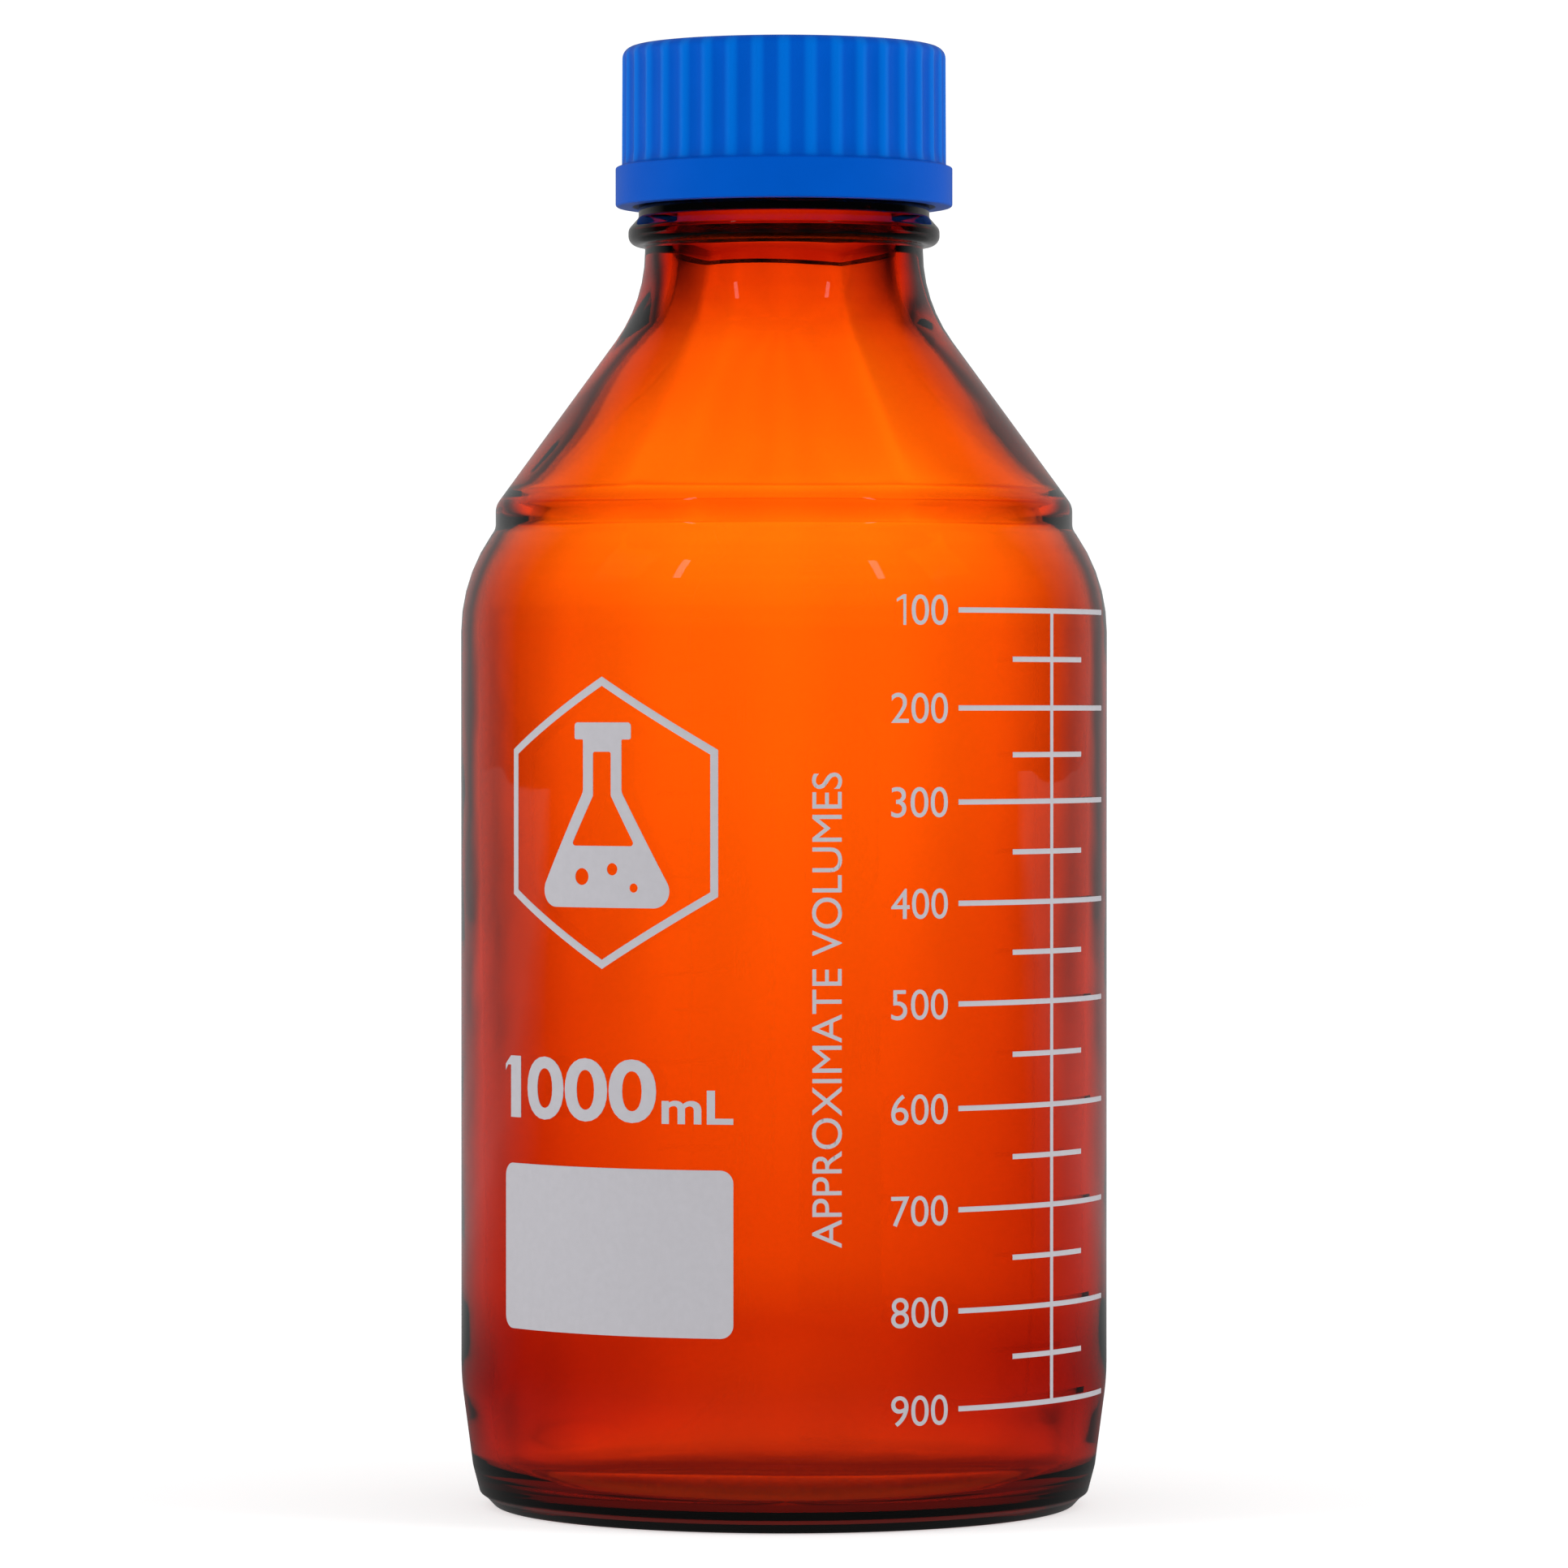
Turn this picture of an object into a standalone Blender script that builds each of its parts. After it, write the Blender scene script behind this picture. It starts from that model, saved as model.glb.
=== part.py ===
"""Amber laboratory storage bottle with a ribbed screw cap and a pouring ring.

The origin is the middle of the foot, +Z runs up the bottle's axis, and the printed
scale faces -Y. Sizes are in metres.
"""

import math

import bmesh
import bpy
from mathutils import Vector

MM = 0.001

# Driving sizes of the glass body
BODY_RADIUS = 50.5 * MM
BODY_WALL = 3.0 * MM
LEDGE_HEIGHT = 156.2 * MM  # foot to the edge where the cone starts
CONE_HEIGHT = 32.0 * MM  # ledge to the corner under the neck
FINISH_HEIGHT = 35.6 * MM  # corner under the neck to the rim
BASE_THICKNESS = 4.6 * MM
PUSH_UP = 2.0 * MM  # how far the underside rises inside the foot
FOOT_INSET = 5.3 * MM  # body side to the outer edge of the foot
FOOT_WIDTH = 4.0 * MM
HEEL_HEIGHT = 20.0 * MM
SHOULDER_RADIUS = 26.6 * MM
SHOULDER_DROP = 7.8 * MM  # waist under the ledge to the shoulder's corner
LEDGE_INSET = 5.4 * MM  # body side to the band under the cone
LEDGE_BAND = 3.6 * MM
CONE_SWEEP = 24.0 * MM  # radius of the sweep from the cone into the neck

# Driving sizes of the neck finish
NECK_BORE = 15.0 * MM
THREAD_CREST = 22.4 * MM
THREAD_DEPTH = 1.4 * MM
THREAD_LEAD = 4.0 * MM
THREAD_TURNS = 2.0
THREAD_TOP_DROP = 7.6 * MM  # rim to the upper end of the thread
THREAD_CREST_WIDTH = 1.0 * MM
THREAD_FLANK = math.radians(25.0)
LAND_STEP = 1.75 * MM  # how far the plain land stands out from the thread root
LAND_DROP = 19.8 * MM  # rim to the upper edge of the land
BEAD_STEP = 1.6 * MM  # how far the transfer bead stands out from the land
BEAD_DROP = 24.9 * MM  # rim to the middle of the bead
BEAD_HEIGHT = 4.2 * MM
NECK_WALL = 4.1 * MM

# Driving sizes of the cap and the pouring ring
CAP_HEIGHT = 25.0 * MM
CAP_WALL = 2.25 * MM
CAP_TOP_THICKNESS = 2.0 * MM
CAP_BAND_HEIGHT = 6.1 * MM
CAP_BAND_STEP = 0.95 * MM
CAP_EDGE = 1.5 * MM
CAP_RIBS = 38
CAP_GROOVE = 0.45 * MM
CAP_THREAD_TURNS = 2.0
CAP_THREAD_START = 3.5 * MM  # cap's lower edge to the lower end of its thread
CAP_THREAD_CREST_WIDTH = 0.8 * MM
PLUG_WALL = 1.2 * MM
PLUG_DEPTH = 2.6 * MM
RING_WALL = 1.4 * MM
RING_SKIRT = 4.2 * MM
RING_TOP = 1.0 * MM
RING_LIP = 0.5 * MM
SNAP_DEPTH = 0.5 * MM

# Driving sizes of the enamel figures
ENAMEL = 0.3 * MM
LINE_WIDTH = 0.8 * MM
LONG_MARK = 39.8 * MM
SHORT_MARK = 18.7 * MM
SCALE_ANGLE = math.radians(54.0)
SCALE_TOP_DROP = 16.8 * MM  # ledge to the top mark
SCALE_BOTTOM = 18.7 * MM  # foot to the bottom mark
SCALE_GAPS = (14.8, 15.3, 15.3, 15.8, 15.2, 15.3, 14.2, 14.8)  # in proportion, upwards
SPOT_ANGLE = math.radians(-33.0)
SPOT_WIDTH = 42.9 * MM
SPOT_HEIGHT = 25.3 * MM
SPOT_BOTTOM = 29.8 * MM
SPOT_CORNER = 2.0 * MM
LETTERING_ROOM = 20.0 * MM  # kept free above the field for the capacity
EMBLEM_RADIUS = 22.0 * MM
EMBLEM_LINE = 1.2 * MM
FLASK_HEIGHT = 28.0 * MM

# Clearances
FIT_GAP = 0.3 * MM  # between pieces that touch
RUN_GAP = 0.4 * MM  # between pieces that turn past each other
EMBED = 0.6 * MM  # how deep a thread's root sinks into its wall

# Places and sizes that follow from the driving ones
NECK_CORNER_Z = LEDGE_HEIGHT + CONE_HEIGHT
RIM_Z = NECK_CORNER_Z + FINISH_HEIGHT
THREAD_ROOT = THREAD_CREST - THREAD_DEPTH
LAND_RADIUS = THREAD_ROOT + LAND_STEP
BEAD_RADIUS = LAND_RADIUS + BEAD_STEP
NECK_RADIUS = LAND_RADIUS - 1.0 * MM
CAP_INNER = max(THREAD_CREST, LAND_RADIUS) + RUN_GAP
CAP_RADIUS = CAP_INNER + CAP_WALL
CAP_THREAD_CREST = THREAD_ROOT + RUN_GAP + 0.1 * MM
RING_RADIUS = CAP_THREAD_CREST - RUN_GAP
RIM_RADIUS = RING_RADIUS - RING_WALL - FIT_GAP
RING_BORE = NECK_BORE + RUN_GAP
PLUG_RADIUS = NECK_BORE - RUN_GAP
UNDER_CAP_Z = RIM_Z + FIT_GAP + RING_TOP + RING_LIP + FIT_GAP
CAP_Z = UNDER_CAP_Z + CAP_TOP_THICKNESS - CAP_HEIGHT
PRINT_RADIUS = BODY_RADIUS + FIT_GAP
SCALE_TOP = LEDGE_HEIGHT - SCALE_TOP_DROP
EMBLEM_FLOOR = SPOT_BOTTOM + SPOT_HEIGHT + LETTERING_ROOM
EMBLEM_Z = (EMBLEM_FLOOR + SCALE_TOP) / 2

# Fineness of the meshes
BODY_SEGMENTS = 48
CAP_SEGMENTS = 2 * CAP_RIBS
RIDGE_SEGMENTS = 48
ARC_STEP = math.radians(18.0)
PLATE_STEP = 4.0 * MM
SHARP_ANGLE = math.radians(32.0)


def clear_scene():
    for thing in list(bpy.data.objects):
        bpy.data.objects.remove(thing, do_unlink=True)


def material(name, colour, roughness, transmission=0.0):
    """A plain material with the piece's colour, as linear red, green and blue."""
    made = bpy.data.materials.new(name)
    made.use_nodes = True
    shader = made.node_tree.nodes["Principled BSDF"]
    shader.inputs["Base Color"].default_value = (*colour, 1.0)
    shader.inputs["Roughness"].default_value = roughness
    shader.inputs["Metallic"].default_value = 0.0
    shader.inputs["Transmission Weight"].default_value = transmission
    return made


def add_object(name, bm, made_of, height=0.0):
    """Puts a finished mesh into the scene as one named, smooth-shaded object."""
    bmesh.ops.recalc_face_normals(bm, faces=bm.faces)
    mesh = bpy.data.meshes.new(name)
    bm.to_mesh(mesh)
    bm.free()
    mesh.shade_smooth()
    mesh.set_sharp_from_angle(angle=SHARP_ANGLE)
    if made_of:
        mesh.materials.append(made_of)
    thing = bpy.data.objects.new(name, mesh)
    thing.location.z = height
    bpy.context.scene.collection.objects.link(thing)
    return thing


def rounded(corners):
    """Turns corners (across, up, fillet radius) into points, with an arc at each fillet."""
    points = []
    for index, (across, up, fillet) in enumerate(corners):
        corner = Vector((across, up))
        if fillet == 0.0:
            points.append(corner)
            continue
        back = (Vector(corners[index - 1][:2]) - corner).normalized()
        ahead = (Vector(corners[(index + 1) % len(corners)][:2]) - corner).normalized()
        turn = math.pi - back.angle(ahead)
        reach = fillet * math.tan(turn / 2)
        centre = corner + (back + ahead).normalized() * fillet / math.cos(turn / 2)
        start = corner + back * reach - centre
        end = corner + ahead * reach - centre
        swing = start.angle_signed(end)
        steps = max(1, round(turn / ARC_STEP))
        for step in range(steps + 1):
            angle = -swing * step / steps
            across_arm = start.x * math.cos(angle) - start.y * math.sin(angle)
            up_arm = start.x * math.sin(angle) + start.y * math.cos(angle)
            points.append(centre + Vector((across_arm, up_arm)))
    return points


def turned(outline, segments):
    """Turns an outline of (radius, height) points about Z into a closed solid.

    An outline that starts and ends on the axis closes there with a fan of faces.
    Any other outline closes on itself, as a ring's does.
    """
    bm = bmesh.new()
    rings = []
    for point in outline:
        if point.x == 0.0:
            rings.append([bm.verts.new((0.0, 0.0, point.y))] * segments)
            continue
        angles = [math.tau * index / segments for index in range(segments)]
        ring = [(point.x * math.cos(a), point.x * math.sin(a), point.y) for a in angles]
        rings.append([bm.verts.new(place) for place in ring])
    pairs = list(zip(rings, rings[1:]))
    if outline[0].x != 0.0:
        pairs.append((rings[-1], rings[0]))
    for lower, upper in pairs:
        for index in range(segments):
            after = (index + 1) % segments
            loop = [lower[index], lower[after], upper[after], upper[index]]
            bm.faces.new(list(dict.fromkeys(loop)))
    return bm


def thread_ridge(name, start_z, turns, surface, crest, crest_width):
    """A right-handed ridge wound about Z, which a Boolean joins to its wall.

    It rises from the wall at both ends over a twelfth of a turn, and its foot is sunk
    into the wall, on whichever side of the surface the crest is not.
    """
    outward = math.copysign(1.0, crest - surface)
    foot = surface - outward * EMBED
    run_out = math.tau / 12
    whole = math.tau * turns
    sections = round(RIDGE_SEGMENTS * turns)
    bm = bmesh.new()
    rows = []
    for index in range(sections + 1):
        angle = whole * index / sections
        rise = min(1.0, angle / run_out, (whole - angle) / run_out)
        top = surface - outward * EMBED / 2 + rise * (crest - surface + outward * EMBED / 2)
        middle = start_z + THREAD_LEAD * angle / math.tau
        row = []
        for radius, side in ((foot, -1), (top, -1), (top, 1), (foot, 1)):
            half = crest_width / 2 + math.tan(THREAD_FLANK) * abs(crest - radius)
            place = (radius * math.cos(angle), radius * math.sin(angle), middle + side * half)
            row.append(bm.verts.new(place))
        rows.append(row)
    for row, following in zip(rows, rows[1:]):
        for side in range(4):
            after = (side + 1) % 4
            bm.faces.new((row[side], row[after], following[after], following[side]))
    bm.faces.new(rows[0])
    bm.faces.new(rows[-1])
    ridge = add_object(name, bm, None)
    ridge.hide_render = True
    ridge.display_type = "WIRE"
    return ridge


def join(body, ridge):
    """Joins a thread ridge to its body with an exact Boolean union."""
    union = body.modifiers.new(ridge.name, "BOOLEAN")
    union.operation = "UNION"
    union.solver = "EXACT"
    union.object = ridge


def outer_glass():
    """Corners of the glass from the underside's middle out, up the side and to the rim."""
    foot = BODY_RADIUS - FOOT_INSET
    band = BODY_RADIUS - LEDGE_INSET
    waist_z = LEDGE_HEIGHT - LEDGE_BAND
    bead_z = RIM_Z - BEAD_DROP
    bead_top = bead_z + BEAD_HEIGHT / 2
    bead_bottom = bead_z - BEAD_HEIGHT / 2
    land_z = RIM_Z - LAND_DROP
    groove = RIM_RADIUS - SNAP_DEPTH
    return [
        (0.0, PUSH_UP, 0.0),
        (foot - FOOT_WIDTH - 3.0 * MM, PUSH_UP, 0.0),
        (foot - FOOT_WIDTH, 0.0, 0.0),
        (foot, 0.0, 0.0),
        (foot + 1.4 * MM, 1.5 * MM, 0.0),
        (foot + 2.4 * MM, 2.2 * MM, 0.0),
        (foot + 3.5 * MM, 6.4 * MM, 0.0),
        (BODY_RADIUS, HEEL_HEIGHT, 40.0 * MM),
        (BODY_RADIUS, waist_z - SHOULDER_DROP, SHOULDER_RADIUS),
        (band, waist_z, 0.8 * MM),
        (band, LEDGE_HEIGHT, 1.4 * MM),
        (NECK_RADIUS, NECK_CORNER_Z, CONE_SWEEP),
        (NECK_RADIUS, bead_bottom, 0.0),
        (BEAD_RADIUS, bead_bottom, 1.2 * MM),
        (BEAD_RADIUS, bead_top - BEAD_STEP, 0.8 * MM),
        (LAND_RADIUS, bead_top + 0.2 * MM, 0.0),
        (LAND_RADIUS, land_z, 0.0),
        (THREAD_ROOT, land_z + 1.0 * MM, 0.0),
        (THREAD_ROOT, RIM_Z - 5.4 * MM, 0.0),
        (RIM_RADIUS, RIM_Z - 4.6 * MM, 0.0),
        (RIM_RADIUS, RIM_Z - 3.8 * MM, 0.0),
        (groove, RIM_Z - 3.5 * MM, 0.0),
        (groove, RIM_Z - 1.8 * MM, 0.0),
        (RIM_RADIUS, RIM_Z - 1.5 * MM, 0.0),
        (RIM_RADIUS, RIM_Z, 0.6 * MM),
    ]


def inner_glass():
    """Corners of the hollow from the rim's inner edge down to the middle of the floor."""
    inside = BODY_RADIUS - BODY_WALL
    band = BODY_RADIUS - LEDGE_INSET
    rise = CONE_HEIGHT / (band - NECK_RADIUS)
    lean = math.hypot(1.0, rise) / rise
    cone_set_back = BODY_WALL * lean
    lower_neck = NECK_RADIUS - NECK_WALL
    neck_z = LEDGE_HEIGHT + (band - cone_set_back - lower_neck) * rise
    waist_z = LEDGE_HEIGHT - LEDGE_BAND
    return [
        (NECK_BORE, RIM_Z, 0.6 * MM),
        (NECK_BORE, RIM_Z - BEAD_DROP + BEAD_HEIGHT / 2, 0.0),
        (lower_neck, neck_z, CONE_SWEEP - BODY_WALL),
        (band - cone_set_back, LEDGE_HEIGHT - 0.9 * MM, 3.0 * MM),
        (band - BODY_WALL + 0.1 * MM, waist_z - 0.9 * MM, 3.0 * MM),
        (inside, waist_z - SHOULDER_DROP - 0.9 * MM, SHOULDER_RADIUS - BODY_WALL),
        (inside, BASE_THICKNESS + 0.4 * MM, 9.0 * MM),
        (0.0, BASE_THICKNESS + PUSH_UP, 0.0),
    ]


def make_bottle(glass):
    outline = rounded(outer_glass() + inner_glass())
    bottle = add_object("bottle", turned(outline, BODY_SEGMENTS), glass)
    start = RIM_Z - THREAD_TOP_DROP - THREAD_LEAD * THREAD_TURNS
    ridge = thread_ridge(
        "bottle_thread", start, THREAD_TURNS, THREAD_ROOT, THREAD_CREST, THREAD_CREST_WIDTH
    )
    join(bottle, ridge)
    return bottle


def make_pouring_ring(plastic):
    """The drip-free ring that snaps over the rim. Its own zero height is the rim."""
    top = FIT_GAP + RING_TOP
    inside = RING_RADIUS - RING_WALL
    snap = inside - SNAP_DEPTH + 0.05 * MM
    lip = RING_RADIUS - 0.8 * MM
    corners = [
        (RING_BORE, FIT_GAP, 0.0),
        (inside, FIT_GAP, 0.0),
        (inside, -1.9 * MM, 0.0),
        (snap, -2.3 * MM, 0.0),
        (snap, -3.0 * MM, 0.0),
        (inside, -3.4 * MM, 0.0),
        (inside, -RING_SKIRT, 0.0),
        (RING_RADIUS, -RING_SKIRT, 0.0),
        (RING_RADIUS, top + RING_LIP, 0.0),
        (lip, top + RING_LIP, 0.0),
        (lip - 0.7 * MM, top, 0.0),
        (RING_BORE + 0.4 * MM, top, 0.0),
        (RING_BORE, top - 0.4 * MM, 0.0),
    ]
    return add_object(
        "pouring_ring", turned(rounded(corners), BODY_SEGMENTS), plastic, height=RIM_Z
    )


def press_grooves(bm):
    """Sinks the grooves between the grip ribs into the upright face above the band."""
    for vert in bm.verts:
        across = math.hypot(vert.co.x, vert.co.y)
        on_face = abs(across - CAP_RADIUS) < 0.01 * MM and vert.co.z > CAP_BAND_HEIGHT
        place = round(math.atan2(vert.co.y, vert.co.x) / math.tau * CAP_SEGMENTS)
        if on_face and place % 2:
            vert.co.xy *= (CAP_RADIUS - CAP_GROOVE) / CAP_RADIUS


def make_screw_cap(plastic):
    """The one-piece cap with its sealing plug. Its own zero height is its lower edge."""
    under = CAP_HEIGHT - CAP_TOP_THICKNESS
    band = CAP_RADIUS + CAP_BAND_STEP
    corners = [
        (0.0, CAP_HEIGHT, 0.0),
        (CAP_RADIUS, CAP_HEIGHT, CAP_EDGE),
        (CAP_RADIUS, CAP_BAND_HEIGHT + 0.3 * MM, 0.0),
        (band, CAP_BAND_HEIGHT, 0.0),
        (band, 0.4 * MM, 0.0),
        (band - 0.4 * MM, 0.0, 0.0),
        (CAP_INNER + 0.5 * MM, 0.0, 0.0),
        (CAP_INNER, 0.8 * MM, 0.0),
        (CAP_INNER, under, 0.0),
        (PLUG_RADIUS, under, 0.0),
        (PLUG_RADIUS - 0.2 * MM, under - PLUG_DEPTH, 0.0),
        (PLUG_RADIUS - PLUG_WALL, under - PLUG_DEPTH, 0.0),
        (PLUG_RADIUS - PLUG_WALL, under, 0.0),
        (0.0, under, 0.0),
    ]
    bm = turned(rounded(corners), CAP_SEGMENTS)
    press_grooves(bm)
    cap = add_object("screw_cap", bm, plastic, height=CAP_Z)
    ridge = thread_ridge(
        "cap_thread",
        CAP_THREAD_START,
        CAP_THREAD_TURNS,
        CAP_INNER,
        CAP_THREAD_CREST,
        CAP_THREAD_CREST_WIDTH,
    )
    turn_to_mesh(ridge)
    ridge.location.z = CAP_Z
    join(cap, ridge)
    return cap


def turn_to_mesh(ridge):
    """Turns the cap's thread so that it lies midway between the turns on the neck."""
    neck_start = RIM_Z - THREAD_TOP_DROP - THREAD_LEAD * THREAD_TURNS
    above = CAP_Z + CAP_THREAD_START - neck_start
    ridge.rotation_euler.z = math.tau * (above / THREAD_LEAD - 0.5)


def curved_plate(name, loops, angle, height, made_of):
    """An enamel figure: flat loops (across, up) given thickness and wrapped on the body.

    The first loop is the outline and any others are holes. Across runs to the right as
    someone in front of the bottle sees it, from the given angle around the axis.
    """
    bm = bmesh.new()
    for loop in loops:
        verts = [bm.verts.new((point.x, 0.0, point.y)) for point in loop]
        for index, vert in enumerate(verts):
            bm.edges.new((vert, verts[(index + 1) % len(verts)]))
    bmesh.ops.triangle_fill(bm, use_beauty=True, edges=bm.edges)
    front = bmesh.ops.extrude_face_region(bm, geom=bm.faces[:])["geom"]
    for part in front:
        if isinstance(part, bmesh.types.BMVert):
            part.co.y -= ENAMEL
    reach = max(abs(point.x) for point in loops[0])
    steps = int(reach / PLATE_STEP)
    for step in range(-steps, steps + 1):
        everything = bm.verts[:] + bm.edges[:] + bm.faces[:]
        cut = (step * PLATE_STEP, 0.0, 0.0)
        bmesh.ops.bisect_plane(bm, geom=everything, plane_co=cut, plane_no=(1.0, 0.0, 0.0))
    for vert in bm.verts:
        around = angle + vert.co.x / BODY_RADIUS
        radius = PRINT_RADIUS - vert.co.y
        vert.co = (radius * math.sin(around), -radius * math.cos(around), height + vert.co.z)
    return add_object(name, bm, made_of)


def make_graduation_scale(enamel):
    """Long and short marks in turn, joined by one upright line, as a single outline."""
    stretch = (SCALE_TOP - SCALE_BOTTOM) / sum(SCALE_GAPS)
    half_line = LINE_WIDTH / 2
    levels = [0.0]
    for gap in SCALE_GAPS:
        levels += [levels[-1] + gap * stretch / 2, levels[-1] + gap * stretch]
    side = []
    for step, up in enumerate(levels):
        reach = (SHORT_MARK if step % 2 else LONG_MARK) / 2
        side += [(half_line, up - half_line), (reach, up - half_line)]
        side += [(reach, up + half_line), (half_line, up + half_line)]
    side = side[1:-1]
    outline = [Vector(point) for point in side]
    outline += [Vector((-across, up)) for across, up in reversed(side)]
    return curved_plate("graduation_scale", [outline], SCALE_ANGLE, SCALE_BOTTOM, enamel)


def make_marking_spot(enamel):
    """The plain field that the user writes on, with rounded corners."""
    half = SPOT_WIDTH / 2
    corners = [
        (-half, 0.0, SPOT_CORNER),
        (half, 0.0, SPOT_CORNER),
        (half, SPOT_HEIGHT, SPOT_CORNER),
        (-half, SPOT_HEIGHT, SPOT_CORNER),
    ]
    return curved_plate("marking_spot", [rounded(corners)], SPOT_ANGLE, SPOT_BOTTOM, enamel)


def hexagon(radius):
    corners = [math.tau * index / 6 for index in range(6)]
    return [Vector((math.sin(angle), math.cos(angle))) * radius for angle in corners]


def make_emblem_frame(enamel):
    """A plain hexagonal line around the flask."""
    loops = [hexagon(EMBLEM_RADIUS), hexagon(EMBLEM_RADIUS - EMBLEM_LINE)]
    return curved_plate("emblem_frame", loops, SPOT_ANGLE, EMBLEM_Z, enamel)


def make_emblem_flask(enamel):
    """A conical flask seen from the side, filled up to its liquid and open above it."""
    unit = FLASK_HEIGHT / 24  # the outlines below are drawn 24 units tall
    right_side = [
        (4.4, 13.0, 0.0),
        (4.4, 10.8, 0.0),
        (3.0, 10.8, 0.0),
        (3.0, 4.0, 1.5),
        (11.4, -11.0, 2.0),
    ]
    right_of_air = [
        (1.4, 9.2, 0.0),
        (1.4, 3.5, 0.8),
        (5.0, -3.0, 0.0),
    ]
    loops = []
    for right in (right_side, right_of_air):
        left = [(-across, up, fillet) for across, up, fillet in reversed(right)]
        loops.append([point * unit for point in rounded(right + left)])
    return curved_plate("emblem_flask", loops, SPOT_ANGLE, EMBLEM_Z, enamel)


def main():
    clear_scene()
    glass = material("amber_glass", (0.50, 0.07, 0.004), 0.05, transmission=0.9)
    cap_plastic = material("blue_cap_plastic", (0.0, 0.12, 0.54), 0.4)
    ring_plastic = material("blue_ring_plastic", (0.0, 0.14, 0.56), 0.4)
    enamel = material("white_enamel", (0.64, 0.64, 0.66), 0.6)
    make_bottle(glass)
    make_pouring_ring(ring_plastic)
    make_screw_cap(cap_plastic)
    make_graduation_scale(enamel)
    make_marking_spot(enamel)
    make_emblem_frame(enamel)
    make_emblem_flask(enamel)


if __name__ == "__main__":
    main()
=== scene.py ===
"""Finished surfaces of an amber laboratory bottle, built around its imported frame.

Every piece is a surface worked out with numpy in the frame's own metres. Angles run
around the bottle's axis from the printed front, positive to a reader's right.
"""

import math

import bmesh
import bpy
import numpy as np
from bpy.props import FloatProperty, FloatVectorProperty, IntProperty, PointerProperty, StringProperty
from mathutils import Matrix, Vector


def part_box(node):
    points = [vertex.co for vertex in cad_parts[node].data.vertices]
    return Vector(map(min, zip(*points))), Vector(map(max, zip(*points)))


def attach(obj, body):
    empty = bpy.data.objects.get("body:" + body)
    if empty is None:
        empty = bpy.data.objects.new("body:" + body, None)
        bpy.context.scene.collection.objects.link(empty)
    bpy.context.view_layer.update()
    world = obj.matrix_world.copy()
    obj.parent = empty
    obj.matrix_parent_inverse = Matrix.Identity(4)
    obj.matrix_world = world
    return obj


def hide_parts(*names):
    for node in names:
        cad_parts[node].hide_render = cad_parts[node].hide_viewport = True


bl_info = {
    "name": "Laboratory Bottle",
    "version": (1, 0, 0),
    "blender": (4, 5, 0),
    "location": "3D View > Sidebar > Bottle",
    "description": "Builds the glass, cap, pouring ring and enamel print of a laboratory bottle",
    "category": "Add Mesh",
}

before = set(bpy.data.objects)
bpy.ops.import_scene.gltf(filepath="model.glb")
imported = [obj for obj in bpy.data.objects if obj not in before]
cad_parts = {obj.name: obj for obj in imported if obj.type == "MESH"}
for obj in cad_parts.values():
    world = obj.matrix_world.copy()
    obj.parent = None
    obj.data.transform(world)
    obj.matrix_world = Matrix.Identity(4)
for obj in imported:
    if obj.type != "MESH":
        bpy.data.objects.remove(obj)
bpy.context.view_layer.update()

MM = 0.001
TAU = math.tau
SCALE_ANGLE = math.radians(54.0)
FIELD_ANGLE = math.radians(-33.0)
FIRST_CREASE = math.radians(25.0)
SHARP = math.radians(40.0)
PRINT_GAP = 0.02 * MM
PRINT_STEP = 1.0 * MM
PANELS = 8
LIGHTS_AIM = Vector((0.0, 0.0, 0.12))

GLASS_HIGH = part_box("bottle")[1]
CAP_LOW, CAP_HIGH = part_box("screw_cap")
RING_LOW, RING_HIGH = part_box("pouring_ring")
MARKS_LOW, MARKS_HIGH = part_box("graduation_scale")
FIELD_LOW, FIELD_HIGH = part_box("marking_spot")
EMBLEM_LOW, EMBLEM_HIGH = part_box("emblem_frame")


def linear(hex_colour):
    """Turns an sRGB hex colour into the linear red, green and blue that shaders use."""
    whole = int(hex_colour.lstrip("#"), 16)
    values = [(whole >> shift & 255) / 255 for shift in (16, 8, 0)]
    return [v / 12.92 if v <= 0.04045 else ((v + 0.055) / 1.055) ** 2.4 for v in values]


def length(name, description, default):
    """A size in metres that the sidebar shows in the scene's unit."""
    return FloatProperty(
        name=name, description=description, default=default, unit="LENGTH", precision=5
    )


def colour(name, description, hex_colour):
    """A linear colour whose default is given as an sRGB hex colour."""
    return FloatVectorProperty(
        name=name,
        description=description,
        default=linear(hex_colour),
        subtype="COLOR",
        size=3,
        min=0.0,
        max=1.0,
    )


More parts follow.
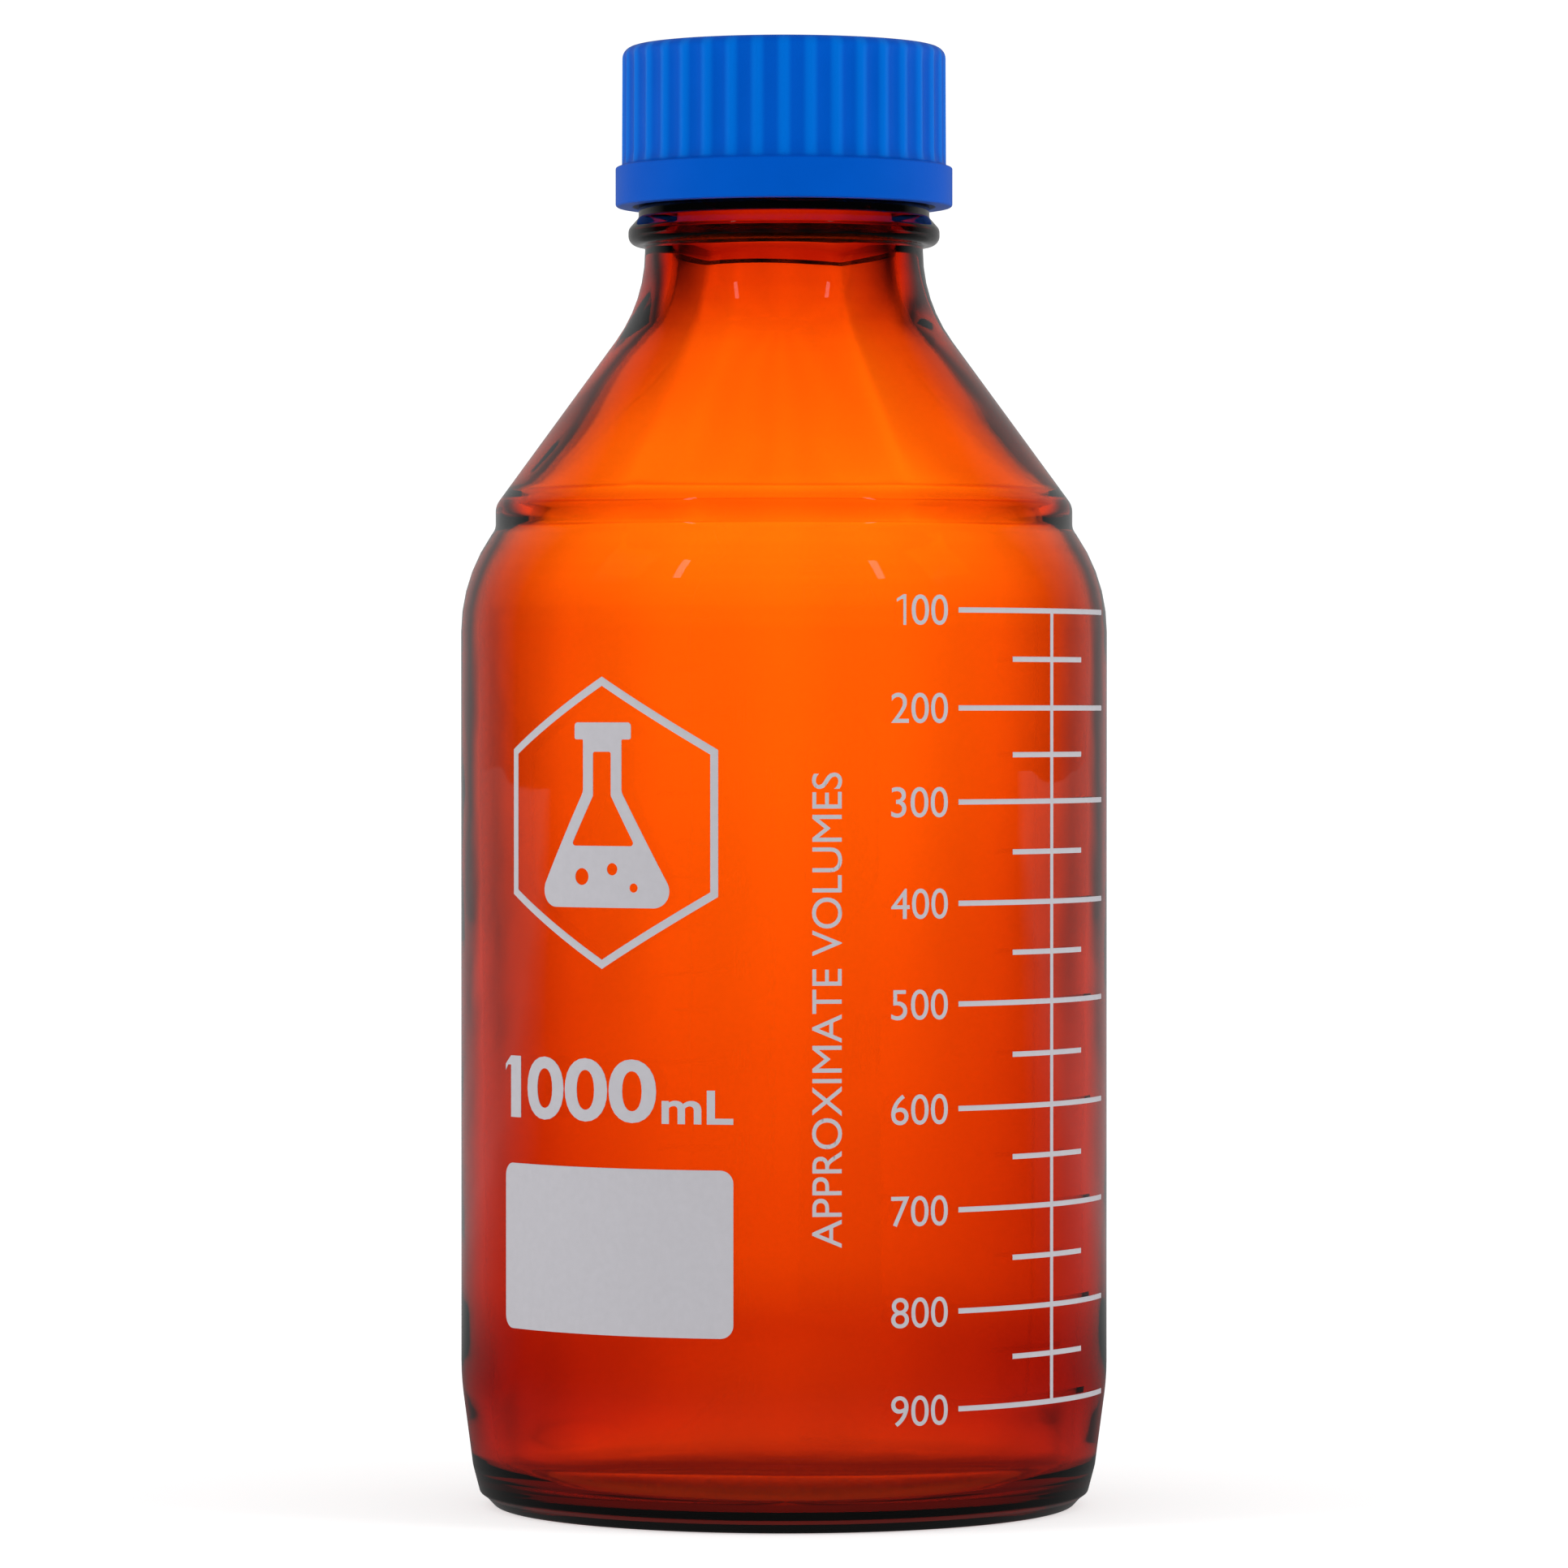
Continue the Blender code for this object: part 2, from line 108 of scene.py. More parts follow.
class BottleGlassSettings(bpy.types.PropertyGroup):
    """Sizes and colours of the glass."""

    radius: length("Body Radius", "Outer radius of the straight body", GLASS_HIGH.x)
    rim_height: length("Rim Height", "Height of the glass rim over the foot", GLASS_HIGH.z)
    wall: length("Wall", "Thickness of the body's wall", 3.0 * MM)
    base: length("Base", "Thickness of the base", 3.2 * MM)
    push_up: length("Push-up", "How far the underside rises inside the foot", 2.0 * MM)
    foot_inset: length("Foot Inset", "From the body's side to the foot ring", 5.3 * MM)
    ledge_height: length("Ledge Height", "Height of the ledge under the cone", 156.2 * MM)
    cone_height: length("Cone Height", "From the ledge to the corner of the neck", 32.0 * MM)
    shoulder: length("Shoulder Radius", "Radius of the rounded shoulder", 26.6 * MM)
    sweep: length("Neck Sweep", "Radius of the sweep from cone to neck", 24.0 * MM)
    bore: length("Bore Radius", "Inner radius of the mouth", 15.0 * MM)
    thread_root: length("Thread Root", "Radius of the neck between its threads", 21.0 * MM)
    thread_depth: length("Thread Depth", "Height of the glass thread", 1.4 * MM)
    thread_lead: length("Thread Lead", "Rise of the thread in one turn", 4.0 * MM)
    thread_turns: FloatProperty(name="Thread Turns", description="Turns of glass thread", default=2.0)
    ripple: length("Ripple", "Unevenness left inside by blowing", 0.08 * MM)
    lean: length("Lean", "How far the hollow of the cone lies off the axis", 0.5 * MM)
    flats: IntProperty(name="Flats", description="Faint flats inside the cone", default=6)
    flat_depth: length("Flat Depth", "How far the creases between the flats go in", 0.35 * MM)
    absorbs: colour("Amber", "Colour that the glass lets through", "#F1CF00")
    density: FloatProperty(
        name="Density", description="How strongly the glass absorbs, per metre", default=1500.0
    )


class BottleClosureSettings(bpy.types.PropertyGroup):
    """Sizes and colours of the cap and the pouring ring."""

    band_radius: length("Band Radius", "Outer radius of the plain band", CAP_HIGH.x)
    foot: length("Foot", "Height of the cap's lower edge", CAP_LOW.z)
    top: length("Top", "Height of the cap's top", CAP_HIGH.z)
    band_height: length("Band Height", "Height of the plain band", 6.1 * MM)
    band_step: length("Band Step", "How far the band stands out", 0.95 * MM)
    wall: length("Wall", "Thickness of the skirt", 2.25 * MM)
    top_thickness: length("Top Thickness", "Thickness of the cap's top", 2.0 * MM)
    edge: length("Edge Radius", "Rounding of the top edge", 1.9 * MM)
    ribs: IntProperty(name="Ribs", description="Number of grip ribs", default=38, min=3)
    groove: length("Groove", "Depth of the hollow flutes between ribs", 0.6 * MM)
    ring_radius: length("Ring Radius", "Outer radius of the pouring ring", RING_HIGH.x)
    ring_foot: length("Ring Foot", "Lower edge of the pouring ring", RING_LOW.z)
    ring_top: length("Ring Top", "Top of the pouring ring's lip", RING_HIGH.z)
    plastic: colour("Plastic", "Moulded polypropylene", "#0055C6")
    sheen: colour("Sheen", "Tint of the soft shine on the plastic", "#3FE8FF")
    # The crest colour is a painted highlight: the thin crests are painted paler where side light
    # would catch them.
    crest: colour("Crest", "Thin crests, where the plastic lets light through", "#006CD8")


class BottlePrintSettings(bpy.types.PropertyGroup):
    """Sizes and colours of the enamel print."""

    thickness: length("Thickness", "Height of the fired enamel", 0.06 * MM)
    line: length("Line Width", "Width of the scale's lines", 0.8 * MM)
    long_mark: length("Long Mark", "Length of the numbered marks", 39.8 * MM)
    short_mark: length("Short Mark", "Length of the marks between", 18.7 * MM)
    gaps: FloatVectorProperty(
        name="Gaps",
        description="Gaps between the numbered marks, in proportion, from the bottom up",
        default=(14.8, 15.3, 15.3, 15.8, 15.2, 15.3, 14.2, 14.8),
        size=8,
    )
    numeral_height: length("Numeral Height", "Height of the numerals", 4.6 * MM)
    numeral_width: length("Numeral Width", "Width of a three-figure numeral", 9.4 * MM)
    numeral_gap: length("Numeral Gap", "From a numeral to its mark", 1.9 * MM)
    heading: StringProperty(
        name="Heading", description="Words along the scale", default="APPROXIMATE VOLUMES"
    )
    field_width: length("Field Width", "Width of the write-on field", 42.9 * MM)
    field_corner: length("Field Corner", "Rounding of the field's corners", 2.0 * MM)
    capacity_height: length("Capacity Height", "Height of the capacity's figures", 9.6 * MM)
    unit_height: length("Unit Height", "Height of the unit after the capacity", 5.1 * MM)
    capacity_gap: length("Capacity Gap", "From the field up to the capacity", 6.9 * MM)
    emblem_line: length("Emblem Line", "Width of the hexagon's line", 1.2 * MM)
    flask_height: length("Flask Height", "Height of the emblem's flask", 28.0 * MM)
    enamel: colour("Enamel", "Fired-on ceramic enamel", "#C4C2C8")


# ---------------------------------------------------------------- surfaces


def outline(corners, arc_step=math.radians(7.0)):
    """Points (across, up) through corners (across, up, fillet), each fillet a round arc.

    Formula: with the unit directions b back and a ahead at a corner that turns by t, the
    arc's centre lies fillet / cos(t/2) along b + a, and the arc runs between the points
    fillet * tan(t/2) back and ahead.
    """
    spots = np.array([corner[:2] for corner in corners])
    runs = []
    for index, corner in enumerate(corners):
        spot, fillet = spots[index], corner[2]
        if fillet == 0.0:
            runs.append(spot[None, :])
            continue
        back = spots[index - 1] - spot
        ahead = spots[(index + 1) % len(spots)] - spot
        back /= np.linalg.norm(back)
        ahead /= np.linalg.norm(ahead)
        turn = math.pi - math.acos(np.clip(back @ ahead, -1.0, 1.0))
        middle = back + ahead
        centre = spot + middle / np.linalg.norm(middle) * fillet / math.cos(turn / 2)
        start = spot + back * fillet * math.tan(turn / 2) - centre
        side = math.copysign(1.0, back[0] * ahead[1] - back[1] * ahead[0])
        steps = max(3, math.ceil(turn / arc_step))
        swing = -side * turn * np.linspace(0.0, 1.0, steps + 1)
        across = start[0] * np.cos(swing) - start[1] * np.sin(swing)
        up = start[0] * np.sin(swing) + start[1] * np.cos(swing)
        runs.append(centre + np.stack((across, up), 1))
    return np.concatenate(runs)


def densified(points, longest):
    """Splits each straight run so that none is longer than longest(middle of the run)."""
    runs = []
    for start, end in zip(points[:-1], points[1:]):
        span = np.linalg.norm(end - start)
        parts = max(1, math.ceil(span / longest((start + end) / 2)))
        share = np.arange(parts)[:, None] / parts
        runs.append(start + (end - start) * share)
    runs.append(points[-1:])
    return np.concatenate(runs)


def around(count):
    """Angles of the columns of a turned surface, from the printed front."""
    return np.arange(count) * TAU / count


def turned(profile, angles, relief=None):
    """Places of a turned surface: (r + relief) * (sin a, -cos a), with r and z from the profile."""
    radius = profile[:, :1] + (0.0 if relief is None else relief)
    radius = np.broadcast_to(radius, (len(profile), len(angles)))
    height = np.broadcast_to(profile[:, 1:], radius.shape)
    return np.stack((radius * np.sin(angles), -radius * np.cos(angles), height), 2)


def smooth_step(values):
    """Rises smoothly from 0 to 1: 3 v^2 - 2 v^3 of values held between 0 and 1."""
    values = np.clip(values, 0.0, 1.0)
    return values * values * (3.0 - 2.0 * values)


def thread_relief(height, angles, start, turns, lead, crest, base, run_out=1 / 12):
    """Height, from 0 to 1, of a right-handed ridge wound around the axis.

    Formula: the ridge's middle is at start + lead * (n + a / tau) on its n-th turn. Across
    it the height is a smooth step between half the base and half the crest width, and it
    fades over run_out of a turn at both ends. A reader's angle runs counter-clockwise.
    """
    part = angles[None, :] / TAU
    turn = np.round((height[:, None] - start) / lead - part)
    along = turn + part
    offset = np.abs((height[:, None] - start) - lead * along)
    across = smooth_step((base / 2 - offset) / (base / 2 - crest / 2))
    return across * smooth_step(np.minimum(along, turns - along) / run_out)


def build(name, places, closed_rows=False, shade_sharp=None):
    """Makes a mesh piece from a grid of places whose columns wrap around.

    The first and last rows are poles, each merged into one vertex, unless closed_rows says
    that the last row joins the first, as on a ring. Rows run so that faces point outwards.
    """
    rows, columns, _ = places.shape
    numbers = np.arange(rows * columns).reshape(rows, columns)
    after = np.roll(numbers, -1, 1)
    verts = places.reshape(-1, 3)
    if closed_rows:
        below = np.roll(numbers, -1, 0)
        quads = np.stack((numbers, after, np.roll(after, -1, 0), below), 2).reshape(-1, 4)
        faces = quads.tolist()
    else:
        quads = np.stack((numbers[1:-2], after[1:-2], after[2:-1], numbers[2:-1]), 2).reshape(-1, 4)
        top = np.full(columns, numbers[0, 0])
        bottom = np.full(columns, numbers[-1, 0])
        fans = np.concatenate(
            (
                np.stack((top, after[1], numbers[1]), 1),
                np.stack((numbers[-2], after[-2], bottom), 1),
            )
        )
        keep = np.concatenate((numbers[0, :1], numbers[1:-1].ravel(), numbers[-1, :1]))
        new_number = np.zeros(rows * columns, int)
        new_number[keep] = np.arange(len(keep))
        verts = verts[keep]
        faces = new_number[quads].tolist() + new_number[fans].tolist()
    return piece_from(name, verts, faces, shade_sharp)


def piece_from(name, verts, faces, shade_sharp=None):
    """Makes a smooth mesh piece. Edges that turn by more than shade_sharp stay crisp."""
    mesh = bpy.data.meshes.new(name)
    mesh.from_pydata(np.asarray(verts).tolist(), [], faces)
    mesh.shade_smooth()
    if shade_sharp is not None:
        mesh.set_sharp_from_angle(angle=shade_sharp)
    mesh.update()
    piece = bpy.data.objects.new(name, mesh)
    bpy.context.scene.collection.objects.link(piece)
    return piece


# ---------------------------------------------------------------- glass


def glass_corners(s):
    """Corners of the glass from under the foot, up the outside, over the rim and down inside.

    The band is the short upright stretch under the ledge, and the waist is its lower end.
    The land is the plain stretch of neck over the bead. The wall is thicker towards the
    neck and the heel, where blown glass gathers.
    """
    foot = s.radius - s.foot_inset
    band = s.radius - 5.4 * MM
    waist = s.ledge_height - 3.6 * MM
    corner = s.ledge_height + s.cone_height
    land = s.thread_root + 1.75 * MM
    neck = land - 1.0 * MM
    bead = land + 1.6 * MM
    bead_middle = s.rim_height - 24.9 * MM
    bead_low, bead_top = bead_middle - 2.1 * MM, bead_middle + 2.1 * MM
    land_top = s.rim_height - 19.8 * MM
    rim = RING_HIGH.x - 1.7 * MM
    groove = rim - 0.5 * MM
    inside = s.radius - s.wall
    outer = [
        # Raised underside, foot ring and heel.
        (0.0, s.push_up, 0.0),
        (foot - 7.0 * MM, s.push_up, 4.0 * MM),
        (foot - 4.0 * MM, 0.0, 1.5 * MM),
        (foot, 0.0, 1.2 * MM),
        (foot + 1.4 * MM, 1.5 * MM, 0.5 * MM),
        (foot + 2.4 * MM, 2.2 * MM, 0.8 * MM),
        (foot + 3.5 * MM, 6.4 * MM, 6.0 * MM),
        # Straight body, shoulder, ledge and cone.
        (s.radius, 20.0 * MM, 40.0 * MM),
        (s.radius, waist - 7.8 * MM, s.shoulder),
        (band, waist, 2.2 * MM),
        (band, s.ledge_height, 3.0 * MM),
        (neck, corner, s.sweep),
        # Transfer bead and plain land.
        (neck, bead_low, 0.5 * MM),
        (bead, bead_low, 1.6 * MM),
        (bead, bead_top - 1.6 * MM, 1.4 * MM),
        (land, bead_top + 0.2 * MM, 0.8 * MM),
        (land, land_top, 0.3 * MM),
        # Threaded stretch, then the rim with its snap groove.
        (s.thread_root, land_top + 1.0 * MM, 0.5 * MM),
        (s.thread_root, s.rim_height - 5.4 * MM, 0.4 * MM),
        (rim, s.rim_height - 4.6 * MM, 0.3 * MM),
        (rim, s.rim_height - 3.8 * MM, 0.12 * MM),
        (groove, s.rim_height - 3.5 * MM, 0.12 * MM),
        (groove, s.rim_height - 1.8 * MM, 0.12 * MM),
        (rim, s.rim_height - 1.5 * MM, 0.12 * MM),
        (rim, s.rim_height, 0.9 * MM),
    ]
    inner = [
        (s.bore, s.rim_height, 0.9 * MM),
        (s.bore, bead_top + 5.6 * MM, 5.0 * MM),
        (neck - 4.2 * MM, bead_middle + 1.4 * MM, 3.0 * MM),
        (neck - 3.6 * MM, corner, 25.0 * MM),
        (band - 3.8 * MM, s.ledge_height + 1.2 * MM, 6.0 * MM),
        (band - 2.1 * MM, waist - 0.8 * MM, 6.0 * MM),
        (inside + 0.2 * MM, waist - 8.6 * MM, s.shoulder - s.wall),
        (inside, 108.0 * MM, 400.0 * MM),
        (inside - 0.5 * MM, 55.0 * MM, 400.0 * MM),
        (inside - 0.7 * MM, 33.0 * MM, 80.0 * MM),
        (inside - 1.8 * MM, 18.0 * MM, 40.0 * MM),
        (inside - 2.8 * MM, s.base, 6.0 * MM),
        (0.0, s.base + s.push_up, 0.0),
    ]
    return outer, inner


def thread_foot(glass):
    """Height at which the glass thread begins. Its upper end lies 7.6 mm under the rim."""
    return glass.rim_height - 7.6 * MM - glass.thread_lead * glass.thread_turns


def ripple(height, angles, seed):
    """A slow unevenness around 0, a sum of nine waves over their root.

    Formula: each wave is the cosine of lobes * angle + rate * height + phase.
    """
    draw = np.random.default_rng(seed)
    total = np.zeros((len(height), len(angles)))
    waves = 9
    for _ in range(waves):
        lobes = draw.integers(0, 6)
        rate = draw.uniform(40.0, 320.0) * draw.choice((-1.0, 1.0))
        phase = draw.uniform(0.0, TAU)
        total += np.cos(lobes * angles[None, :] + rate * height[:, None] + phase)
    return total / math.sqrt(waves)


def glass_places(s, columns=180):
    """The whole glass skin as one turned surface, with its thread and its inner ripple.

    The blown unevenness lies inside, mostly in the cone and the heel: a ripple, creases
    between faint flats, and a hollow that lies a little off the axis. The moulded outside
    has a tenth of the ripple.
    """
    outer, inner = glass_corners(s)

    def longest(middle):
        on_thread = abs(middle[0] - s.thread_root) < 0.01 * MM
        return 0.16 * MM if on_thread else 2.5 * MM

    profile = densified(outline(outer + inner), longest)
    rim_row = int(np.argmax(profile[:, 1]))
    angles = around(columns)
    turning = np.mod(angles - TAU / 4, TAU)
    ridge = thread_relief(
        profile[:, 1],
        turning,
        thread_foot(s),
        s.thread_turns,
        s.thread_lead,
        crest=1.0 * MM,
        base=2.3 * MM,
    )
    outside = (np.arange(len(profile)) < rim_row)[:, None]
    relief = np.where(outside, ridge * s.thread_depth, 0.0)
    over_shoulder = smooth_step((profile[:, 1] - s.ledge_height + 12.0 * MM) / (20.0 * MM))
    under_bead = smooth_step((s.rim_height - 22.0 * MM - profile[:, 1]) / (10.0 * MM))
    in_cone = over_shoulder * under_bead
    at_heel = smooth_step((30.0 * MM - profile[:, 1]) / (12.0 * MM))
    uneven = 0.2 + 0.8 * in_cone + 1.2 * at_heel
    fade = smooth_step(profile[:, 0] / (30.0 * MM)) * uneven
    inner_ripple = ripple(profile[:, 1], angles, seed=7) * s.ripple
    outer_ripple = ripple(profile[:, 1], angles, seed=11) * s.ripple * 0.1
    crease = 1.0 - np.abs(np.sin(s.flats / 2 * (angles - FIRST_CREASE)))
    flats = s.flat_depth * in_cone[:, None] * crease**2
    lean = s.lean * in_cone[:, None] * np.cos(angles)
    relief = relief + np.where(outside, outer_ripple, inner_ripple + flats + lean) * fade[:, None]
    relief[[0, -1]] = 0.0
    return turned(profile, angles, relief)


class BOTTLE_OT_glass(bpy.types.Operator):
    """Blow the amber glass body with its threaded neck"""

    bl_idname = "bottle.glass"
    bl_label = "Glass"

    def execute(self, context):
        settings = context.scene.bottle_glass
        glass = build("glass_body", glass_places(settings))
        glass.data.materials.append(amber_glass(settings))
        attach(glass, "bottle")
        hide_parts("bottle")
        return {"FINISHED"}


# ---------------------------------------------------------------- cap and pouring ring


def cap_places(s, glass):
    """The cap as one turned surface: gate mark, rounded edge, ribs, band, thread and plug.

    Its thread follows the glass thread half a lead lower, so that the ridges lie between
    each other when the cap is closed.
    """
    height = s.top - s.foot
    skirt = s.band_radius - s.band_step
    inner = skirt - s.wall
    under = height - s.top_thickness
    plug = glass.bore - 0.4 * MM
    sunk = height - 0.25 * MM
    plug_end = under - 2.6 * MM
    corners = [
        # Top with its gate mark and its shallow ring.
        (0.0, sunk, 0.0),
        (1.5 * MM, sunk, 0.3 * MM),
        (2.0 * MM, height, 0.3 * MM),
        (19.4 * MM, height, 0.3 * MM),
        (19.8 * MM, sunk, 0.3 * MM),
        (20.6 * MM, sunk, 0.3 * MM),
        (21.0 * MM, height, 0.3 * MM),
        # Ribbed skirt and plain band.
        (skirt - 0.08 * MM, height, s.edge),
        (skirt, s.band_height + 0.35 * MM, 0.3 * MM),
        (s.band_radius, s.band_height, 0.3 * MM),
        (s.band_radius, 0.0, 0.45 * MM),
        # Inside of the skirt, then the sealing plug.
        (inner + 0.5 * MM, 0.0, 0.3 * MM),
        (inner, 0.8 * MM, 0.3 * MM),
        (inner, under, 0.6 * MM),
        (plug, under, 0.3 * MM),
        (plug - 0.2 * MM, plug_end, 0.3 * MM),
        (plug - 1.2 * MM, plug_end, 0.3 * MM),
        (plug - 1.2 * MM, under, 0.3 * MM),
        (0.0, under, 0.0),
    ]

    def longest(middle):
        on_thread = abs(middle[0] - inner) < 0.01 * MM and middle[1] < 15.0 * MM
        return 0.36 * MM if on_thread else 1.6 * MM

    profile = densified(outline(corners, math.radians(12.0)), longest)
    angles = around(12 * s.ribs)
    out_row = int(np.argmax(profile[:, 0]))
    outside = (np.arange(len(profile)) < out_row)[:, None]
    at_foot = smooth_step((profile[:, 1] - s.band_height - 0.2 * MM) / (0.8 * MM))
    at_edge = smooth_step((height - 0.5 * MM - profile[:, 1]) / (2.0 * MM))
    flute = np.sqrt(np.sin(s.ribs / 2 * angles) ** 2 + 0.02) - 0.14
    valley = -s.groove * (at_foot * at_edge)[:, None] * flute
    turning = np.mod(angles - TAU / 4, TAU)
    begin = 3.5 * MM
    above = s.foot + begin - thread_foot(glass)
    turn_by = TAU * (above / glass.thread_lead - 0.5)
    ridge = thread_relief(
        profile[:, 1],
        np.mod(turning - turn_by, TAU),
        begin,
        2.0,
        glass.thread_lead,
        crest=0.8 * MM,
        base=2.2 * MM,
    )
    depth = inner - glass.thread_root - 0.5 * MM
    inside = (np.abs(profile[:, 0] - inner) < 0.02 * MM)[:, None]
    relief = np.where(outside, valley, np.where(inside, -ridge * depth, 0.0))
    profile = profile + np.array((0.0, s.foot))
    places = turned(profile, angles, relief)
    return places[::-1]


def ring_places(s, glass):
    """The pouring ring: flange over the rim, snap bead inside and a drip lip on top."""
    rim = glass.rim_height
    under = rim + 0.3 * MM
    inside = s.ring_radius - 1.4 * MM
    snap = inside - 0.45 * MM
    flange = s.ring_top - 0.5 * MM
    hole = glass.bore + 0.4 * MM
    corners = [
        (hole, under, 0.2 * MM),
        (inside, under, 0.2 * MM),
        (inside, rim - 1.9 * MM, 0.1 * MM),
        (snap, rim - 2.3 * MM, 0.15 * MM),
        (snap, rim - 3.0 * MM, 0.15 * MM),
        (inside, rim - 3.4 * MM, 0.1 * MM),
        (inside, s.ring_foot, 0.2 * MM),
        (s.ring_radius, s.ring_foot, 0.3 * MM),
        (s.ring_radius, s.ring_top, 0.25 * MM),
        (s.ring_radius - 0.8 * MM, s.ring_top, 0.2 * MM),
        (s.ring_radius - 1.5 * MM, flange, 0.3 * MM),
        (hole + 0.4 * MM, flange, 0.2 * MM),
        (hole, flange - 0.4 * MM, 0.15 * MM),
    ]
    profile = outline(corners, math.radians(15.0))
    profile = densified(np.concatenate((profile, profile[:1])), lambda middle: 1.2 * MM)[:-1]
    return turned(profile, around(160))


class BOTTLE_OT_closure(bpy.types.Operator):
    """Mould the ribbed screw cap and the pouring ring"""

    bl_idname = "bottle.closure"
    bl_label = "Cap and Pouring Ring"

    def execute(self, context):
        settings = context.scene.bottle_closure
        glass = context.scene.bottle_glass
        plastic = moulded_polypropylene(settings)
        cap = build("cap_shell", cap_places(settings, glass))
        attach(cap, "cap")
        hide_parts("screw_cap")
        ring = build("drip_ring", ring_places(settings, glass), closed_rows=True)
        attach(ring, "ring")
        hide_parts("pouring_ring")
        for piece in (cap, ring):
            piece.data.materials.append(plastic)
        return {"FINISHED"}


# ---------------------------------------------------------------- enamel print


def wrapped(across, up, out, angle, height, radius):
    """Wraps flat places on the body: angle + across / r around, height + up, r + out away."""
    turn = angle + across / radius
    away = radius + PRINT_GAP + out
    return np.stack((away * np.sin(turn), -away * np.cos(turn), height + up), -1)


def ribbon_places(path, width, thickness, closed=False):
    """A low rounded line along a flat path, as a profile carried along the path.

    Formula: at each point the profile lies across the mean direction of its two runs,
    widened by 1 / cos of half the turn so that straight runs keep their width. Gives the
    points' places across and up the print and their height over it.
    """
    if closed:
        before, after = np.roll(path, 1, 0), np.roll(path, -1, 0)
    else:
        before = np.concatenate((2 * path[:1] - path[1:2], path[:-1]))
        after = np.concatenate((path[1:], 2 * path[-1:] - path[-2:-1]))
    came = (path - before) / np.linalg.norm(path - before, axis=1)[:, None]
    goes = (after - path) / np.linalg.norm(after - path, axis=1)[:, None]
    normal = np.stack((came[:, 1] + goes[:, 1], -came[:, 0] - goes[:, 0]), 1)
    normal /= np.linalg.norm(normal, axis=1)[:, None]
    widen = 1.0 / np.maximum(0.2, np.abs(came[:, 1] * normal[:, 0] - came[:, 0] * normal[:, 1]))
    side = np.array((-0.5, -0.5, -0.42, 0.42, 0.5, 0.5)) * width
    lift = np.array((0.0, 0.6, 1.0, 1.0, 0.6, 0.0)) * thickness
    flat = path[:, None, :] + normal[:, None, :] * (side[None, :] * widen[:, None])[:, :, None]
    return flat[..., 0], flat[..., 1], np.broadcast_to(lift, flat.shape[:2])


def tube_faces(rows, columns, first, closed):
    """Faces of a tube whose columns wrap, with its ends capped or its rows joined."""
    numbers = first + np.arange(rows * columns).reshape(rows, columns)
    after = np.roll(numbers, -1, 1)
    if closed:
        quads = np.stack((numbers, after, np.roll(after, -1, 0), np.roll(numbers, -1, 0)), 2)
        return quads.reshape(-1, 4).tolist()
    quads = np.stack((numbers[:-1], after[:-1], after[1:], numbers[1:]), 2)
    return quads.reshape(-1, 4).tolist() + [numbers[0, ::-1].tolist(), numbers[-1].tolist()]


def straight(start, end):
    """Points along a straight flat line, no further apart than a print step."""
    start, end = np.array(start), np.array(end)
    parts = max(1, math.ceil(np.linalg.norm(end - start) / PRINT_STEP))
    return start + (end - start) * (np.arange(parts + 1) / parts)[:, None]


def lines_piece(name, paths, width, thickness, angle, height, radius, closed=False):
    """One piece of several printed lines."""
    verts, faces, first = [], [], 0
    for path in paths:
        across, up, out = ribbon_places(path, width, thickness, closed)
        places = wrapped(across, up, out, angle, height, radius)
        faces += tube_faces(*across.shape, first, closed)
        verts.append(places.reshape(-1, 3))
        first += across.size
    return piece_from(name, np.concatenate(verts), faces, SHARP)


def flat_solid(curve):
    """The closed mesh of a flat filled curve or text, which is used up."""
    holder = bpy.data.objects.new("flat_figure", curve)
    bpy.context.scene.collection.objects.link(holder)
    graph = bpy.context.evaluated_depsgraph_get()
    mesh = bpy.data.meshes.new_from_object(holder.evaluated_get(graph))
    bpy.data.objects.remove(holder)
    bpy.data.curves.remove(curve)
    figure = bmesh.new()
    figure.from_mesh(mesh)
    bpy.data.meshes.remove(mesh)
    bmesh.ops.remove_doubles(figure, verts=figure.verts, dist=1e-7)
    return figure


def cut_upright(figure):
    """Cuts a flat figure by upright planes a print step apart, so that it can be wrapped."""
    reach = [vert.co.x for vert in figure.verts]
    first = math.ceil(min(reach) / PRINT_STEP)
    last = math.floor(max(reach) / PRINT_STEP)
    for index in range(first, last + 1):
        parts = figure.verts[:] + figure.edges[:] + figure.faces[:]
        plane = (index * PRINT_STEP, 0.0, 0.0)
        bmesh.ops.bisect_plane(figure, geom=parts, plane_co=plane, plane_no=(1.0, 0.0, 0.0))


def text_figure(words, weight=0.0):
    """Generic lettering as a flat solid before it is fitted. Weight thickens its strokes."""
    curve = bpy.data.curves.new("lettering", "FONT")
    curve.body = words
    curve.size = 1.0
    curve.extrude = 0.5
    curve.offset = weight
    curve.resolution_u = 6
    return flat_solid(curve)


def filled_figure(name, loops):
    """A flat solid filled inside its first loop and left open inside the others."""
    curve = bpy.data.curves.new(name, "CURVE")
    curve.dimensions = "2D"
    curve.fill_mode = "BOTH"
    curve.extrude = 0.5
    for loop in loops:
        spline = curve.splines.new("POLY")
        spline.points.add(len(loop) - 1)
        flat = np.zeros((len(loop), 4))
        flat[:, :2] = loop
        flat[:, 3] = 1.0
        spline.points.foreach_set("co", flat.ravel())
        spline.use_cyclic_u = True
    return flat_solid(curve)


def one_figure(weight=0.09):
    """The digit one: a stem of some weight with a flag at its top left, before it is fitted."""
    corners = [(0.0, 0.0), (0.0, 1.0), (-weight, 1.0), (-0.30, 0.86), (-0.30, 0.76)]
    corners += [(-weight - 0.06, 0.85), (-weight, 0.85), (-weight, 0.0)]
    return filled_figure("digit_one", [corners])


